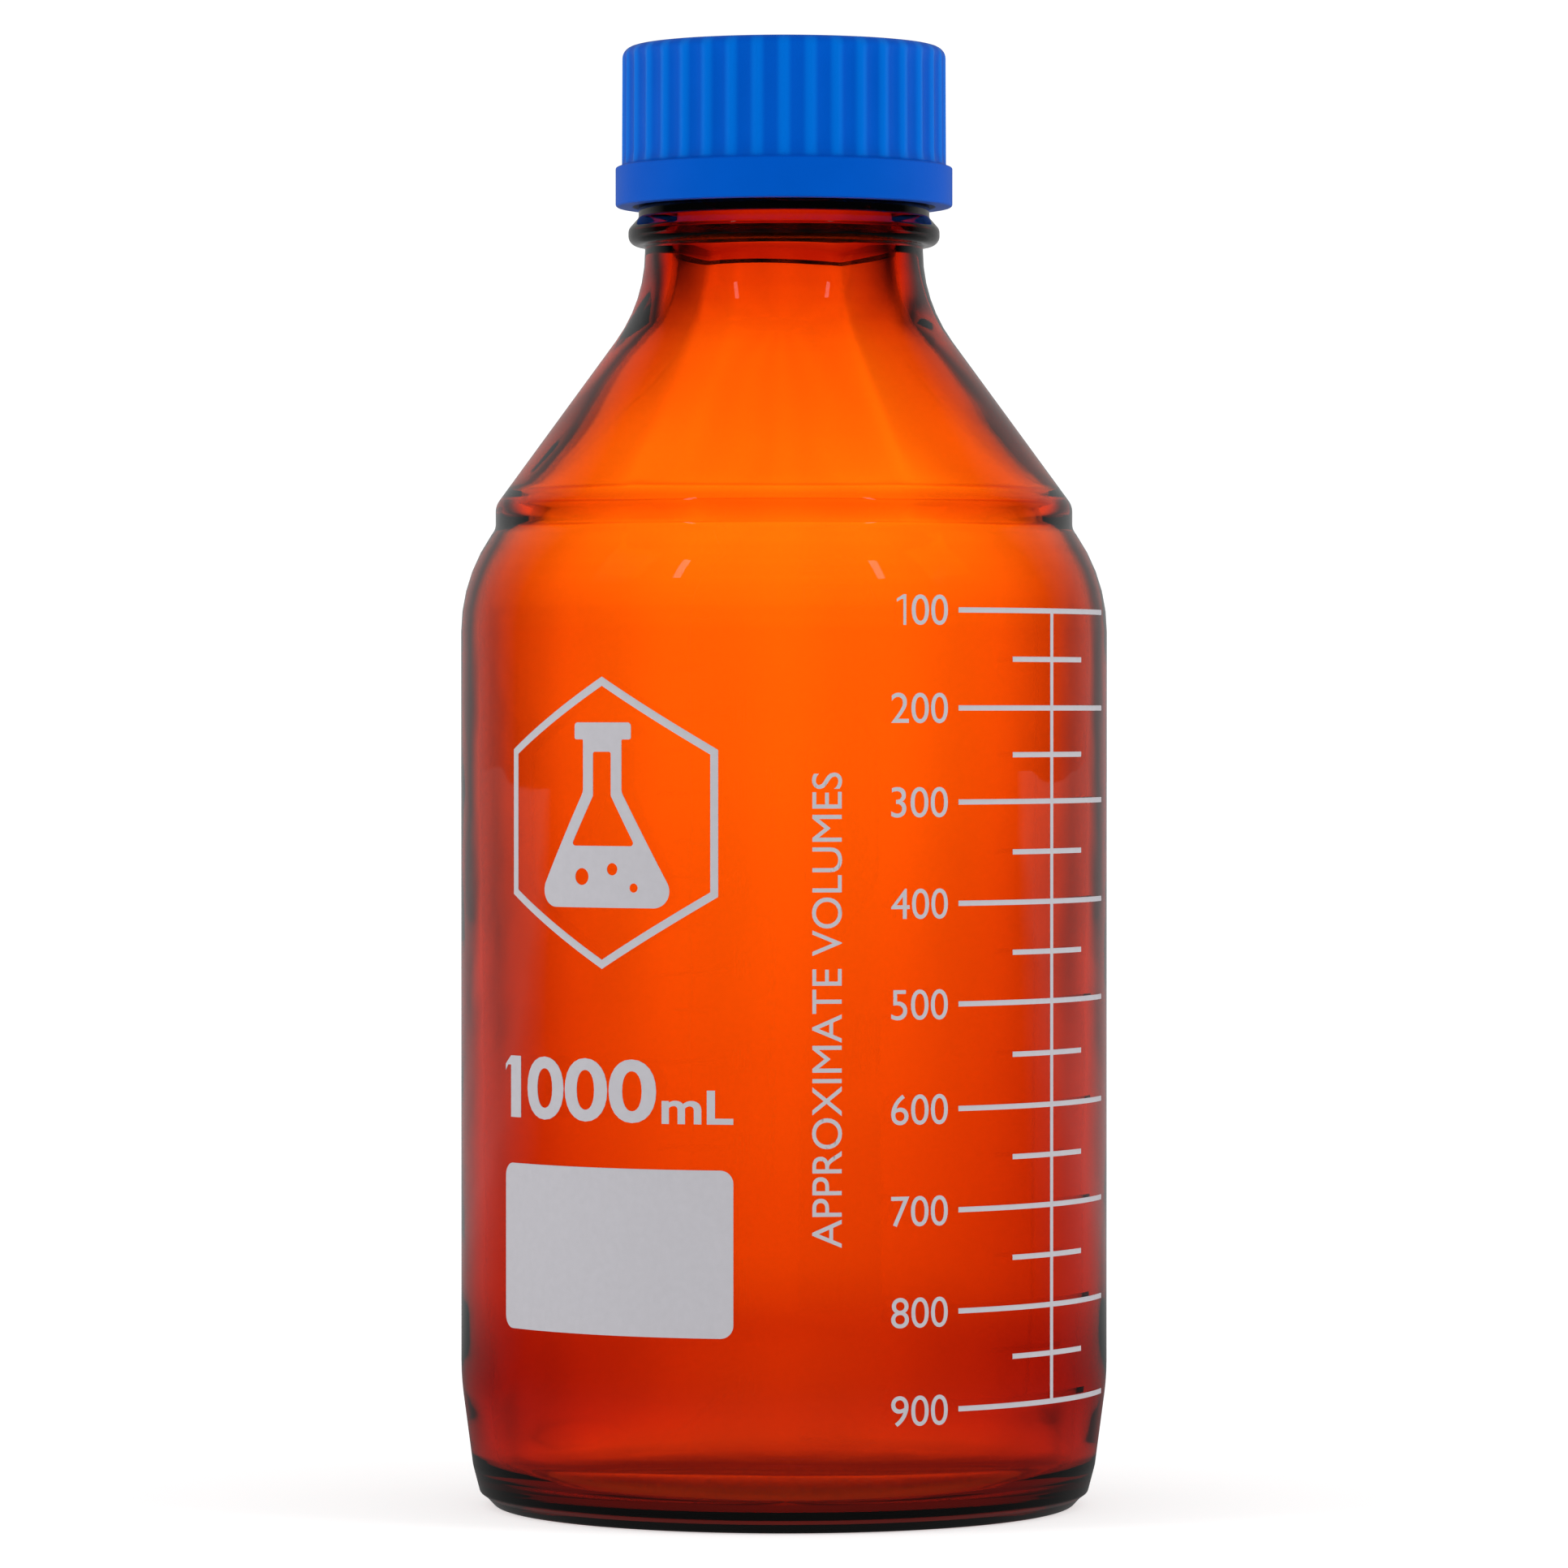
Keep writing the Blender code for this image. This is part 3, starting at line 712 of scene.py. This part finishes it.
def fit_figure(figure, left, right, low, high, upright=False):
    """Scales a flat figure to a box. Upright turns it a quarter first, to read upwards."""
    if upright:
        for vert in figure.verts:
            vert.co.x, vert.co.y = -vert.co.y, vert.co.x
    places = np.array([vert.co[:] for vert in figure.verts])
    small, large = places.min(0), places.max(0)
    scale = np.array((right - left, high - low)) / (large - small)[:2]
    for vert, place in zip(figure.verts, places):
        vert.co.x = left + (place[0] - small[0]) * scale[0]
        vert.co.y = low + (place[1] - small[1]) * scale[1]
    return figure


def figures_piece(name, figures, thickness, angle, height, radius):
    """One piece from flat figures whose third coordinate runs from -0.5 to 0.5."""
    verts, faces, first = [], [], 0
    for figure in figures:
        cut_upright(figure)
        figure.verts.index_update()
        flat = np.array([vert.co[:] for vert in figure.verts])
        out = (flat[:, 2] + 0.5) * thickness
        verts.append(wrapped(flat[:, 0], flat[:, 1], out, angle, height, radius))
        faces += [[first + vert.index for vert in face.verts] for face in figure.faces]
        first += len(flat)
        figure.free()
    return piece_from(name, np.concatenate(verts), faces, SHARP)


def field_places(width, height, corner, thickness):
    """The write-on field: a rounded rectangle filled in rings from its middle.

    Formula: a ring at share s of the outline lies at s * outline. Inside the outline the
    rings have the enamel's full thickness, and the last ones step down to the glass.
    """
    half, tall = width / 2, height / 2
    corners = [
        (half, -tall, corner),
        (half, tall, corner),
        (-half, tall, corner),
        (-half, -tall, corner),
    ]
    loop = outline(corners, math.radians(10.0))
    loop = densified(np.concatenate((loop, loop[:1])), lambda middle: PRINT_STEP)[:-1]
    inset = 0.12 * MM / half
    rings = 24
    flat = np.linspace(0.0, 1.0 - 2 * inset, rings)
    shares = np.concatenate((flat, (1.0 - inset / 2, 1.0, 1.0, 0.0)))
    lifts = np.concatenate((np.ones(rings), (0.9, 0.5, 0.0, 0.0))) * thickness
    across = shares[:, None] * loop[None, :, 0]
    up = shares[:, None] * loop[None, :, 1]
    return across, up, np.broadcast_to(lifts[:, None], across.shape)


def enamelled(s, *pieces):
    """Gives printed pieces their enamel and fixes them to the bottle."""
    enamel = bpy.data.materials.get("fired_enamel") or fired_enamel(s)
    for piece in pieces:
        piece.data.materials.append(enamel)
        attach(piece, "bottle")


def numeral_figures(s, level, words):
    """The figures of one numeral, which ends a gap left of its mark. A one is drawn apart."""
    foot = level - s.numeral_height / 2
    top = foot + s.numeral_height
    right = -s.long_mark / 2 - s.numeral_gap
    left = right - s.numeral_width
    if not words.startswith("1"):
        return [fit_figure(text_figure(words), left, right, foot, top)]
    digit = left + 0.9 * MM
    one = fit_figure(one_figure(), digit, digit + 1.5 * MM, foot, top)
    return [one, fit_figure(text_figure(words[1:]), left + 3.3 * MM, right, foot, top)]


class BOTTLE_OT_scale(bpy.types.Operator):
    """Print the marks of the volume scale with their numerals and heading"""

    bl_idname = "bottle.scale"
    bl_label = "Volume Scale"

    def execute(self, context):
        s = context.scene.bottle_print
        radius = context.scene.bottle_glass.radius
        low = MARKS_LOW.z + s.line / 2
        high = MARKS_HIGH.z - s.line / 2
        numbered = np.concatenate(((0.0,), np.cumsum(s.gaps))) * (high - low) / sum(s.gaps)
        between = (numbered[:-1] + numbered[1:]) / 2
        paths = [straight((0.0, 0.0), (0.0, high - low))]
        for levels, span in ((numbered, s.long_mark), (between, s.short_mark)):
            paths += [straight((-span / 2, level), (span / 2, level)) for level in levels]
        marks = lines_piece("scale_marks", paths, s.line, s.thickness, SCALE_ANGLE, low, radius)
        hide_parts("graduation_scale")
        numerals = []
        for index, level in enumerate(numbered):
            numerals += numeral_figures(s, level, str(900 - 100 * index))
        figures = figures_piece("scale_numerals", numerals, s.thickness, SCALE_ANGLE, low, radius)
        left, right = 4.2 * MM, 8.75 * MM
        foot, top = 43.5 * MM, 114.9 * MM
        heading = fit_figure(text_figure(s.heading), left, right, foot, top, upright=True)
        words = figures_piece("scale_heading", [heading], s.thickness, 0.0, 0.0, radius)
        enamelled(s, marks, figures, words)
        return {"FINISHED"}


class BOTTLE_OT_field(bpy.types.Operator):
    """Print the write-on field and the capacity above it"""

    bl_idname = "bottle.field"
    bl_label = "Write-on Field"

    def execute(self, context):
        s = context.scene.bottle_print
        radius = context.scene.bottle_glass.radius
        deep = FIELD_HIGH.z - FIELD_LOW.z
        height = (FIELD_HIGH.z + FIELD_LOW.z) / 2
        across, up, out = field_places(s.field_width, deep, s.field_corner, s.thickness)
        places = wrapped(across, up, out, FIELD_ANGLE, height, radius)
        field = build("write_on_field", places, shade_sharp=SHARP)
        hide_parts("marking_spot")
        left = -s.field_width / 2
        tall = s.capacity_height
        round_off = 0.1 * MM
        one = fit_figure(one_figure(0.19), left, left + 4.2 * MM, round_off, tall - round_off)
        zeros = text_figure("000", weight=0.022)
        zeros = fit_figure(zeros, left + 5.9 * MM, left + 30.8 * MM, 0.0, tall)
        unit = text_figure("mL", weight=0.02)
        unit = fit_figure(unit, left + 31.7 * MM, left + s.field_width, 0.0, s.unit_height)
        low = FIELD_HIGH.z + s.capacity_gap
        figures = [one, zeros, unit]
        words = figures_piece("capacity", figures, s.thickness, FIELD_ANGLE, low, radius)
        enamelled(s, field, words)
        return {"FINISHED"}


def flask_figure(height):
    """The conical flask as a flat solid, with its air space and bubbles left open.

    It is drawn 24 units tall around its middle, as (across, up, fillet), and scaled.
    """
    right_side = [
        (4.4, 13.0, 0.5),
        (4.4, 10.8, 0.3),
        (3.0, 10.8, 0.2),
        (3.0, 4.0, 1.5),
        (11.4, -11.0, 2.2),
    ]
    right_of_air = [(1.4, 9.2, 0.3), (1.4, 3.5, 0.8), (5.0, -3.0, 0.4)]
    loops = []
    for right in (right_side, right_of_air):
        left = [(-across, up, fillet) for across, up, fillet in reversed(right)]
        loops.append(outline(right + left))
    turn = around(32)
    for across, up, bubble in ((-3.2, -7.0, 1.1), (1.6, -6.0, 0.8), (4.8, -8.4, 0.6)):
        ring = np.stack((across + bubble * np.cos(turn), up + bubble * np.sin(turn)), 1)
        loops.append(ring)
    return filled_figure("flask", [loop * height / 24.0 for loop in loops])


class BOTTLE_OT_emblem(bpy.types.Operator):
    """Print the plain emblem, a flask in a hexagon"""

    bl_idname = "bottle.emblem"
    bl_label = "Emblem"

    def execute(self, context):
        s = context.scene.bottle_print
        radius = context.scene.bottle_glass.radius
        reach = (EMBLEM_HIGH.z - EMBLEM_LOW.z - s.emblem_line) / 2
        middle = (EMBLEM_HIGH.z + EMBLEM_LOW.z) / 2
        turn = around(6)
        corners = np.stack((np.sin(turn), np.cos(turn)), 1) * reach
        sides = [straight(a, b)[:-1] for a, b in zip(corners, np.roll(corners, -1, 0))]
        hexagon = lines_piece(
            "emblem_line",
            [np.concatenate(sides)],
            s.emblem_line,
            s.thickness,
            FIELD_ANGLE,
            middle,
            radius,
            closed=True,
        )
        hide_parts("emblem_frame")
        figure = flask_figure(s.flask_height)
        flask = figures_piece("emblem_mark", [figure], s.thickness, FIELD_ANGLE, middle, radius)
        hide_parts("emblem_flask")
        enamelled(s, hexagon, flask)
        return {"FINISHED"}


# ---------------------------------------------------------------- materials


def add(tree, kind, sockets=None, **settings):
    """Adds a shader node with its settings, and sets or links its input sockets.

    Sockets are named or numbered. Their values are plain ones, other nodes' output sockets,
    or other nodes, whose first output in use is linked.
    """
    made = tree.nodes.new("ShaderNode" + kind)
    for name, value in settings.items():
        setattr(made, name, value)
    for name, value in (sockets or {}).items():
        if isinstance(value, bpy.types.Node):
            value = next(socket for socket in value.outputs if socket.enabled)
        if isinstance(value, bpy.types.NodeSocket):
            tree.links.new(value, made.inputs[name])
        else:
            made.inputs[name].default_value = value
    return made


def new_material(name):
    """An empty node material and its node tree."""
    made = bpy.data.materials.new(name)
    made.use_nodes = True
    made.node_tree.nodes.clear()
    return made, made.node_tree


def amber_glass(s):
    """Amber borosilicate glass: clear skin, colour that deepens with thickness."""
    made, tree = new_material("amber_borosilicate_glass")
    place = add(tree, "TexCoord").outputs["Object"]
    # Handling leaves a faint uneven film, so the roughness varies over about 15 mm.
    film = add(tree, "TexNoise", {"Vector": place, "Scale": 65.0, "Detail": 3.0})
    rough = add(tree, "MapRange", {"Value": film, "From Min": 0.4, "From Max": 0.8, "To Max": 0.03})
    tint = add(
        tree,
        "Mix",
        {"Factor": film, "A": (1.0, 0.985, 0.96, 1.0), "B": (0.975, 0.95, 0.91, 1.0)},
        data_type="RGBA",
    )
    # The mould leaves soft waves about 12 mm long on the skin.
    wave = add(tree, "TexNoise", {"Vector": place, "Scale": 85.0, "Detail": 1.0})
    skin = add(tree, "Bump", {"Strength": 0.25, "Distance": 0.0002, "Height": wave})
    shader = add(
        tree,
        "BsdfPrincipled",
        {
            "Base Color": tint,
            "Roughness": rough,
            "IOR": 1.473,
            "Transmission Weight": 1.0,
            "Normal": skin,
        },
    )
    depth = add(tree, "VolumeAbsorption", {"Color": (*s.absorbs, 1.0), "Density": s.density})
    add(tree, "OutputMaterial", {"Surface": shader, "Volume": depth})
    return made


def moulded_polypropylene(s):
    """Injection-moulded polypropylene: satin, with a painted highlight on its thin crests, and fine
    mould grain.
    """
    made, tree = new_material("moulded_polypropylene")
    place = add(tree, "TexCoord").outputs["Object"]
    # Pigment isn't quite even, and drifts over about 11 mm.
    cloud = add(tree, "TexNoise", {"Vector": place, "Scale": 90.0, "Detail": 4.0})
    deep = [channel * 0.9 for channel in s.plastic]
    pale = [min(1.0, channel * 1.08) for channel in s.plastic]
    tone = add(
        tree,
        "Mix",
        {"Factor": cloud, "A": (*deep, 1.0), "B": (*pale, 1.0)},
        data_type="RGBA",
    )
    # The thin crests between the flutes get a painted highlight, paler where side light would
    # catch them, from the band up to the top edge. They lie where cos(ribs * angle) is high, and
    # the top and the pouring ring are left out.
    parts = add(tree, "SeparateXYZ", {"Vector": place}).outputs
    across = add(tree, "CombineXYZ", {"X": parts["X"], "Y": parts["Y"]})
    spread = add(tree, "VectorMath", {0: across}, operation="LENGTH")
    front = add(tree, "Math", {0: parts["Y"], 1: -1.0}, operation="MULTIPLY")
    turn = add(tree, "Math", {0: parts["X"], 1: front}, operation="ARCTAN2")
    ribs = add(tree, "Math", {0: turn, 1: float(s.ribs)}, operation="MULTIPLY")
    wave = add(tree, "Math", {0: ribs}, operation="COSINE")
    crest = add(
        tree,
        "MapRange",
        {"Value": wave, "From Min": -0.5},
        interpolation_type="SMOOTHSTEP",
    )
    band_top = s.foot + s.band_height
    over_band = add(
        tree,
        "MapRange",
        {"Value": parts["Z"], "From Min": band_top, "From Max": band_top + 0.8 * MM},
    )
    skirt = s.band_radius - s.band_step
    on_skirt = add(
        tree,
        "MapRange",
        {"Value": spread, "From Min": skirt - s.edge, "From Max": skirt - 0.4 * MM},
    )
    # Mask of the painted crest highlight, kept to the ribbed skirt.
    crest_highlight = crest
    for share in (over_band, on_skirt):
        crest_highlight = add(tree, "Math", {0: crest_highlight, 1: share}, operation="MULTIPLY")
    tone = add(tree, "Mix", {"Factor": crest_highlight, "A": tone, "B": (*s.crest, 1.0)}, data_type="RGBA")
    rough = add(tree, "MapRange", {"Value": cloud, "To Min": 0.32, "To Max": 0.48})
    # The steel mould's grain is about 0.3 mm, fine enough to soften the gloss only.
    grain = add(tree, "TexNoise", {"Vector": place, "Scale": 3300.0, "Detail": 2.0})
    skin = add(tree, "Bump", {"Strength": 0.15, "Distance": 0.0001, "Height": grain})
    shader = add(
        tree,
        "BsdfPrincipled",
        {
            "Base Color": tone,
            "Roughness": rough,
            "IOR": 1.49,
            "Specular IOR Level": 0.15,
            "Specular Tint": (*s.sheen, 1.0),
            "Normal": skin,
        },
    )
    add(tree, "OutputMaterial", {"Surface": shader})
    return made


def fired_enamel(s):
    """Screen-printed ceramic enamel: matt, pale grey, with the speckle of fired frit."""
    made, tree = new_material("fired_enamel")
    place = add(tree, "TexCoord").outputs["Object"]
    # The frit's grains are finer than the render shows, so the speckle is about 1 mm.
    speckle = add(tree, "TexNoise", {"Vector": place, "Scale": 900.0, "Detail": 5.0})
    dull = [channel * 0.9 for channel in s.enamel]
    tone = add(
        tree,
        "Mix",
        {"Factor": speckle, "A": (*dull, 1.0), "B": (*s.enamel, 1.0)},
        data_type="RGBA",
    )
    rough = add(tree, "MapRange", {"Value": speckle, "To Min": 0.5, "To Max": 0.7})
    skin = add(tree, "Bump", {"Strength": 0.2, "Distance": 0.0001, "Height": speckle})
    shader = add(
        tree,
        "BsdfPrincipled",
        {"Base Color": tone, "Roughness": rough, "IOR": 1.5, "Normal": skin},
    )
    add(tree, "OutputMaterial", {"Surface": shader})
    return made


# ---------------------------------------------------------------- stage


class BottleStageSettings(bpy.types.PropertyGroup):
    """Light, floor and camera."""

    distance: length("Distance", "From the lens to the bottle's axis", 1.209)
    eye_height: length("Eye Height", "Height of the lens over the floor", 124.4 * MM)
    aim_height: length("Aim Height", "Height on the axis that the lens points at", 112.7 * MM)
    lens: FloatProperty(name="Lens", description="Focal length", default=177.3, unit="CAMERA")
    fill: FloatProperty(name="Fill", description="Light from all around", default=0.42)
    side: FloatProperty(
        name="Side Light", description="Light added towards the left and right", default=0.5
    )
    front_gloss: FloatProperty(
        name="Front Gloss", description="Brightness mirrored from the front", default=0.02
    )
    near_gloss: FloatProperty(
        name="Near Gloss", description="Brightness mirrored from the floor by the foot", default=0.12
    )
    back_gloss: FloatProperty(
        name="Back Gloss", description="Brightness mirrored from behind", default=0.32
    )
    dim: FloatProperty(
        name="Dim", description="Share of the back light left between two panels", default=0.05
    )
    back: FloatProperty(
        name="Back Light", description="Brightness of the white sweep seen through glass", default=3.6
    )


def panel_light(tree, parts, dim):
    """Brightness of soft panels around the bottle: dim + (1 - dim) * (1 + cos(panels * a)) / 2."""
    turn = add(tree, "Math", {0: parts["X"], 1: parts["Y"]}, operation="ARCTAN2")
    turns = add(tree, "Math", {0: turn, 1: float(PANELS)}, operation="MULTIPLY")
    wave = add(tree, "Math", {0: turns}, operation="COSINE")
    return add(tree, "MapRange", {"Value": wave, "From Min": -1.0, "To Min": dim})


def white_world(s):
    """A white studio that gives each kind of ray its own brightness.

    The camera sees white, glass sees bright panels with dim gaps, gloss mirrors a dark
    front and a paler back, and dull surfaces get a fill that grows towards the sides.
    """
    world = bpy.data.worlds.new("white_studio")
    world.use_nodes = True
    tree = world.node_tree
    tree.nodes.clear()
    path = add(tree, "LightPath")
    place = add(tree, "TexCoord").outputs["Generated"]
    parts = add(tree, "SeparateXYZ", {"Vector": place}).outputs
    gloss = add(
        tree,
        "MapRange",
        {
            "Value": parts["Y"],
            "From Min": 0.33,
            "From Max": 0.75,
            "To Min": s.front_gloss,
            "To Max": s.back_gloss,
        },
    )
    aside = add(tree, "Math", {0: parts["X"]}, operation="ABSOLUTE")
    fill = add(
        tree,
        "MapRange",
        {"Value": aside, "From Min": 0.3, "To Min": s.fill, "To Max": s.fill + s.side},
    )
    mirrored = add(tree, "Mix", {"Factor": path.outputs["Is Glossy Ray"], "A": fill, "B": gloss})
    panels = panel_light(tree, parts, s.dim)
    back = add(tree, "Math", {0: panels, 1: s.back}, operation="MULTIPLY")
    through = add(
        tree,
        "Mix",
        {"Factor": path.outputs["Is Transmission Ray"], "A": mirrored, "B": back},
    )
    seen = add(tree, "Mix", {"Factor": path.outputs["Is Camera Ray"], "A": through, "B": 1.1})
    background = add(tree, "Background", {"Color": (1.0, 1.0, 1.0, 1.0), "Strength": seen})
    add(tree, "OutputWorld", {"Surface": background})
    world.cycles.sampling_method = "NONE"
    bpy.context.scene.world = world


def sweep_material(s):
    """White paper that glows with painted light, a brightness of its own for each kind of ray.

    Seen through glass its glow dims towards the bottle by r / (r + 0.15) as painted shade,
    with a painted shadow under the foot, and far off it takes on the panels of the world.
    Gloss mirrors it darker, as a painted reflection.
    """
    made, tree = new_material("white_paper")
    place = add(tree, "TexCoord").outputs["Object"]
    away = add(tree, "VectorMath", {0: place}, operation="LENGTH")
    further = add(tree, "Math", {0: away, 1: 0.15}, operation="ADD")
    share = add(tree, "Math", {0: away, 1: further}, operation="DIVIDE")
    bright = add(tree, "MapRange", {"Value": share, "To Min": s.back * 0.5, "To Max": s.back})
    parts = add(tree, "SeparateXYZ", {"Vector": place}).outputs
    panels = panel_light(tree, parts, s.dim)
    far = add(tree, "MapRange", {"Value": away, "From Min": 0.2, "From Max": 2.0, "To Min": 0.1})
    panels = add(tree, "Mix", {"Factor": far, "A": 1.0, "B": panels})
    # Painted shadow: the glow seen through glass darkens under the foot.
    shade = add(
        tree,
        "MapRange",
        {"Value": away, "From Min": 0.03, "From Max": 0.09, "To Min": 0.2},
        interpolation_type="SMOOTHSTEP",
    )
    for factor in (panels, shade):
        bright = add(tree, "Math", {0: bright, 1: factor}, operation="MULTIPLY")
    near = add(
        tree,
        "MapRange",
        {
            "Value": share,
            "From Min": 0.2,
            "From Max": 0.8,
            "To Min": s.near_gloss,
            "To Max": s.front_gloss,
        },
    )
    gloss = add(
        tree,
        "MapRange",
        {
            "Value": parts["Y"],
            "From Min": 0.05,
            "From Max": 0.6,
            "To Min": near,
            "To Max": s.back_gloss,
        },
    )
    paper = add(tree, "BsdfDiffuse", {"Color": (0.85, 0.85, 0.85, 1.0)})
    # Far off the paper glows up to the white of the world behind it, so no horizon shows.
    horizon_glow = add(tree, "MapRange", {"Value": far, "To Min": 0.5, "To Max": 0.8})
    glow = add(tree, "Emission", {"Strength": horizon_glow})
    plain = add(tree, "AddShader", {0: paper, 1: glow})
    mirrored = add(tree, "Emission", {"Strength": gloss})
    through = add(tree, "Emission", {"Strength": bright})
    path = add(tree, "LightPath")
    in_air = add(tree, "MixShader", {0: path.outputs["Is Glossy Ray"], 1: plain, 2: mirrored})
    all_rays = add(
        tree,
        "MixShader",
        {0: path.outputs["Is Transmission Ray"], 1: in_air, 2: through},
    )
    add(tree, "OutputMaterial", {"Surface": all_rays})
    made.cycles.emission_sampling = "NONE"
    return made


def soft_box(name, azimuth, elevation, distance, size, power, glint=False):
    """A soft light that faces the bottle, seen either by dull surfaces or as a glint."""
    light = bpy.data.lights.new(name, "AREA")
    light.shape = "RECTANGLE"
    light.size, light.size_y = size
    light.energy = power
    holder = bpy.data.objects.new(name, light)
    turn, rise = math.radians(azimuth), math.radians(elevation)
    direction = Vector(
        (math.sin(turn) * math.cos(rise), -math.cos(turn) * math.cos(rise), math.sin(rise))
    )
    holder.location = direction * distance + LIGHTS_AIM
    holder.rotation_euler = direction.to_track_quat("Z", "Y").to_euler()
    holder.visible_glossy = glint
    holder.visible_diffuse = not glint
    bpy.context.scene.collection.objects.link(holder)


class BOTTLE_OT_stage(bpy.types.Operator):
    """Set up the pale floor, the soft light and the camera"""

    bl_idname = "bottle.stage"
    bl_label = "Stage"

    def execute(self, context):
        s = context.scene.bottle_stage
        half = 12.0
        corners = [(-half, -half, 0.0), (half, -half, 0.0), (half, half, 0.0), (-half, half, 0.0)]
        floor = piece_from("floor", corners, [[0, 1, 2, 3]])
        floor.data.materials.append(sweep_material(s))
        white_world(s)
        square, strip = (0.4, 0.4), (0.06, 0.26)
        away = 1.3
        soft_box("left_soft_box", -68.0, 35.0, away, square, 2.6)
        soft_box("right_soft_box", 68.0, 35.0, away, square, 3.0)
        soft_box("left_glint", -42.0, 38.0, away, strip, 0.1, glint=True)
        soft_box("right_glint", 38.0, 38.0, away, strip, 0.1, glint=True)
        camera = bpy.data.cameras.new("camera")
        camera.lens = s.lens
        camera.sensor_width = 36.0
        camera.clip_end = 50.0
        holder = bpy.data.objects.new("camera", camera)
        holder.location = (0.0, -s.distance, s.eye_height)
        look = Vector((0.0, s.distance, s.aim_height - s.eye_height))
        holder.rotation_euler = look.to_track_quat("-Z", "Y").to_euler()
        context.scene.collection.objects.link(holder)
        context.scene.camera = holder
        context.scene.view_settings.view_transform = "Standard"
        return {"FINISHED"}


class BOTTLE_PT_panel(bpy.types.Panel):
    """Lists the bottle's pieces in the 3D view's sidebar"""

    bl_idname = "BOTTLE_PT_panel"
    bl_label = "Laboratory Bottle"
    bl_space_type = "VIEW_3D"
    bl_region_type = "UI"
    bl_category = "Bottle"

    def draw(self, context):
        """Shows one button for each operator"""
        column = self.layout.column(align=True)
        for operator in OPERATORS:
            column.operator(operator.bl_idname)


OPERATORS = (
    BOTTLE_OT_stage,
    BOTTLE_OT_glass,
    BOTTLE_OT_closure,
    BOTTLE_OT_scale,
    BOTTLE_OT_field,
    BOTTLE_OT_emblem,
)
SETTINGS = {
    "bottle_glass": BottleGlassSettings,
    "bottle_closure": BottleClosureSettings,
    "bottle_print": BottlePrintSettings,
    "bottle_stage": BottleStageSettings,
}


def register():
    """Registers the classes and hangs each settings group on the scene."""
    for kind in (*SETTINGS.values(), *OPERATORS, BOTTLE_PT_panel):
        bpy.utils.register_class(kind)
    for name, kind in SETTINGS.items():
        setattr(bpy.types.Scene, name, PointerProperty(type=kind))


def unregister():
    """Takes the settings groups off the scene and unregisters the classes."""
    for name in SETTINGS:
        delattr(bpy.types.Scene, name)
    for kind in (BOTTLE_PT_panel, *reversed(OPERATORS), *reversed(SETTINGS.values())):
        bpy.utils.unregister_class(kind)


def main():
    """Registers the add-on, then builds the stage and every piece."""
    register()
    bpy.ops.bottle.stage()
    bpy.ops.bottle.glass()
    bpy.ops.bottle.closure()
    bpy.ops.bottle.scale()
    bpy.ops.bottle.field()
    bpy.ops.bottle.emblem()


if __name__ == "__main__":
    main()
